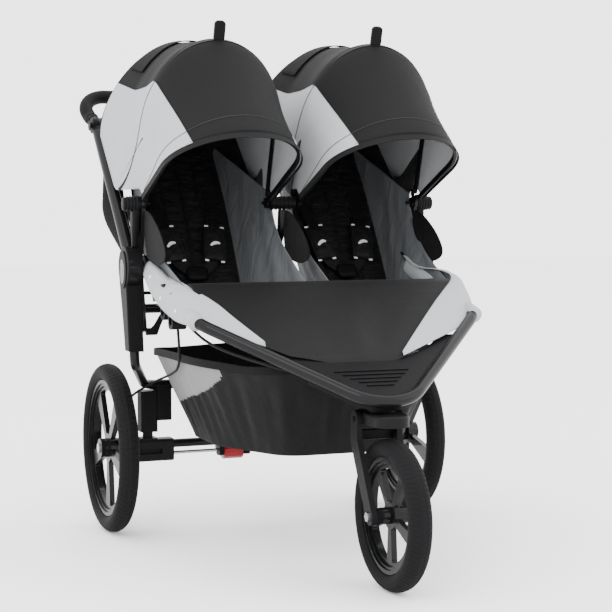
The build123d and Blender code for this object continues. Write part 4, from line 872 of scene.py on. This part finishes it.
across, down = np.meshgrid(np.linspace(-1, 1, 121), np.linspace(0, 1, 61))
y = -391 - 251 * down
left_edge = np.interp(y, (-642, -617, -584, -525, -450, -419, -391), (40, 159, 207, 242, 283, 302, 304))
right_edge = np.interp(y, (-642, -635, -626, -501, -447, -391), (20, 60, 95, 217, 270, 318))
x = across * np.where(across < 0, left_edge, right_edge)
fold = 3.2 * np.sin(across * 9 + down * 1.5) * np.sin(np.pi * down) * np.exp(-(across / 0.7) ** 2)
top_roll = 5.0 * np.exp(-((down / 0.04) ** 2))
tuck = 10.0 * np.clip((down - 0.9) / 0.1, 0, 1) ** 2
z = panel_z(y) + 2 + fold - top_roll - tuck
apron = surface("footwell_apron", row_frame(np.stack([x, y, z], -1)), turn=True)
thicken(apron, 0.002, 1)
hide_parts("footwell_panel")
mount(apron, apron_cloth, "front_frame")

RAIL_FALL = np.tan(np.radians(15))


def rail_z(y):
    """Height of the rails' middle at a depth."""
    return 622 + (y + 120) * RAIL_FALL


for side, name in ((-1, "left"), (1, "right")):
    span = np.linspace(0, 1, 60)
    y = -150 - 345 * span
    path = np.stack([side * (318 + 0 * span), y, rail_z(y)], 1)
    wide = np.interp(span, [0, 0.12, 0.5, 1], [0.019, 0.0235, 0.021, 0.0165]) + 0.0006 * np.sin(span * 40)
    deep = np.interp(span, [0, 0.12, 0.5, 1], [0.021, 0.026, 0.022, 0.0165]) + 0.0006 * np.sin(span * 33 + 1)
    loop = round_profile(1.0, 32)
    profile = np.stack([loop[None, :, 0] * np.minimum(wide, 0.0165)[:, None],
                        loop[None, :, 1] * deep[:, None]], -1)
    sleeve = carried(f"rail_sleeve_{name}", row_frame(path), profile, up=(0, 0.26, 0.97))
    mount(sleeve, grey_cloth, "front_frame")
    if side < 0:
        inner = [(-300, -150, 640), (-300, -201, 620), (-301, -262, 602), (-302, -340, 597),
                 (-298, -415, 585), (-272, -455, 562), (-234, -525, 516), (-201, -584, 482)]
        outer = [(-338, -150, 612), (-341, -205, 582), (-343, -262, 560), (-343, -330, 538),
                 (-341, -400, 524), (-338, -478, 512), (-296, -522, 506), (-201, -588, 472)]
    else:
        inner = [(300, -150, 640), (300, -205, 618), (301, -265, 614), (304, -335, 616), (318, -392, 604),
                 (262, -447, 568), (180, -527, 516), (87, -624, 456)]
        outer = [(338, -150, 612), (341, -205, 582), (343, -265, 566), (343, -340, 548), (342, -415, 530),
                 (339, -470, 512), (250, -556, 494), (87, -630, 448)]
    inner_path, outer_path = smooth_path(inner, 72), smooth_path(outer, 72)
    span = np.linspace(0, 1, len(inner_path))[:, None]
    hug = np.clip((0.80 - span) / 0.18, 0, 1)
    s = np.linspace(0, 1, 26)[None, :]
    over = s * (1 - hug) + np.sin(s * np.pi / 2) * hug
    under = s * (1 - hug) + (1 - np.cos(s * np.pi / 2)) * hug
    shares = np.stack([over, (over + under) / 2, under], -1)
    points = inner_path[:, None] + (outer_path - inner_path)[:, None] * shares
    puff = np.sin(np.pi * s) * np.sin(np.pi * np.clip(span * 1.02, 0, 1)) ** 0.5
    wrinkle = 1.2 * np.sin(span * 44 + s * 5) * np.sin(np.pi * s) * hug
    points += (puff * 5 + wrinkle)[..., None] * np.array((side * 0.5, -0.3, 0.8))
    points[..., 2] += 6 * (1 - hug)
    if side < 0:
        facing = np.cross(np.gradient(points, axis=1), np.gradient(points, axis=0))
    else:
        facing = np.cross(np.gradient(points, axis=0), np.gradient(points, axis=1))
    facing /= np.linalg.norm(facing, axis=2)[..., None]
    if facing[20, 12, 2] < 0:
        facing = -facing
    wing = surface(f"footwell_wing_{name}", row_frame(points), turn=side > 0)
    thicken(wing, 0.0018, 0)
    mount(wing, grey_cloth, "front_frame")
    for n, (row, column) in enumerate(((8, 16), (27, 20), (44, 20))):
        centre, normal = row_frame(points[row, column]), facing[row, column]
        first = np.cross(normal, (0, 0, 1))
        first /= np.linalg.norm(first)
        second = np.cross(normal, first)
        radii = np.array([0.0002, 0.0022, 0.0034, 0.0042, 0.0042])
        steps = np.array([0.0024, 0.0024, 0.0020, 0.0012, -0.001])
        a = np.linspace(0, 2 * np.pi, 24, endpoint=False)
        circle = np.cos(a)[:, None] * first + np.sin(a)[:, None] * second
        rings = np.stack([centre + normal * lift + r * circle for r, lift in zip(radii, steps)])
        snap = surface(f"sleeve_snap_{name}_{n}", rings, wrap=True, turn=side > 0)
        mount(snap, pale_tab, "front_frame")

# ---- Cargo basket ------------------------------------------------------------------------------------
# A black polyester bag hung from the rails, with a taped rim, mesh windows at its rear corners and
# soft folds where it sags.
mesh_cloth = woven("basket_mesh", (0.17, 0.17, 0.175), thread=0.0026, folds=0.25, fold_size=0.05)
basket_cloth = woven("basket_cloth", (0.0035, 0.0035, 0.004), folds=0.5, fold_size=0.09, roughness=0.7)


def basket_line(half, front_half, rear, turn, front, count=240, round_by=15):
    """Six-sided outline that narrows toward the front, evenly stepped and rounded by averaging."""
    corners = np.array([(half, turn), (half, rear), (-half, rear), (-half, turn), (-front_half, front),
                        (front_half, front), (half, turn)], float)
    steps = np.r_[0, np.cumsum(np.linalg.norm(np.diff(corners, axis=0), axis=1))]
    at = np.linspace(0, steps[-1], count, endpoint=False)
    line = np.stack([np.interp(at, steps, corners[:, axis]) for axis in (0, 1)], 1)
    return np.mean([np.roll(line, n, 0) for n in range(-(round_by // 2), round_by // 2 + 1)], 0)


rim_outline = basket_line(299, 183, -53, -380, -591)
floor_outline = basket_line(219, 127, -124, -320, -512)
drop = np.linspace(0, 1, 49)[:, None]
share = drop**1.1
x = rim_outline[None, :, 0] * (1 - share) + floor_outline[None, :, 0] * share
y = rim_outline[None, :, 1] * (1 - share) + floor_outline[None, :, 1] * share
turned = np.arctan2(y + 300, x)
slack = np.sin(np.pi * drop)
ruffle = 3.5 * slack * np.sin(turned * 17 + 3 * np.sin(turned * 3)) + 2.0 * slack * np.sin(turned * 41)
x, y = x * (1 - 0.02 * slack) + ruffle * np.cos(turned), y * (1 - 0.02 * slack) + ruffle * np.sin(turned)
sag_edge = 9 * (1 - np.abs(np.cos(turned * 2))) * (1 - drop)
z = 440 - 203 * drop - sag_edge
bag_points = row_frame(np.stack([x, y, z], -1))
bag = surface("basket_bag", bag_points, wrap=True, turn=True)
for material in (basket_cloth, mesh_cloth):
    bag.data.materials.append(material)
face_x, face_y = x[:-1].ravel(), y[:-1].ravel()
face_drop = np.repeat((np.arange(48) + 0.5) / 48, 240)
along_side = np.clip((face_y + 70) / -370, 0, 1)
window = ((np.abs(face_x) > 150) & (face_y < -75) & (face_y > -440)
          & (face_drop > 0.08) & (face_drop < 0.10 + 0.55 * np.sqrt(1 - along_side)))
bag.data.polygons.foreach_set("material_index", window.astype(np.int32))
thicken(bag, 0.0015)
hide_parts("basket")
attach(bag, "front_frame")
reach = np.linspace(0.02, 1, 20)[:, None, None]
middle_place = floor_outline.mean(0)
spread = middle_place + (floor_outline - middle_place)[None] * reach
ripple = 1.5 + 2.5 * np.sin(spread[..., :1] / 31) * np.cos(spread[..., 1:] / 32) * (1 - reach**4)
floor_points = np.concatenate([spread, 237 + ripple], -1)
bag_floor = surface("basket_floor", row_frame(floor_points), wrap=True)
thicken(bag_floor, 0.0015, 0)
mount(bag_floor, basket_cloth, "front_frame")
rim_line = np.vstack([bag_points[0], bag_points[0][:1]])
rim_facing = rim_line - rim_line.mean(0)
rim_facing[:, 2] = 0
rim_band = ribbon("basket_rim_band", rim_line - (0, 0, 0.008), rim_facing, 0.016, 0.0016, binding_tape,
                  "front_frame", -0.0004)
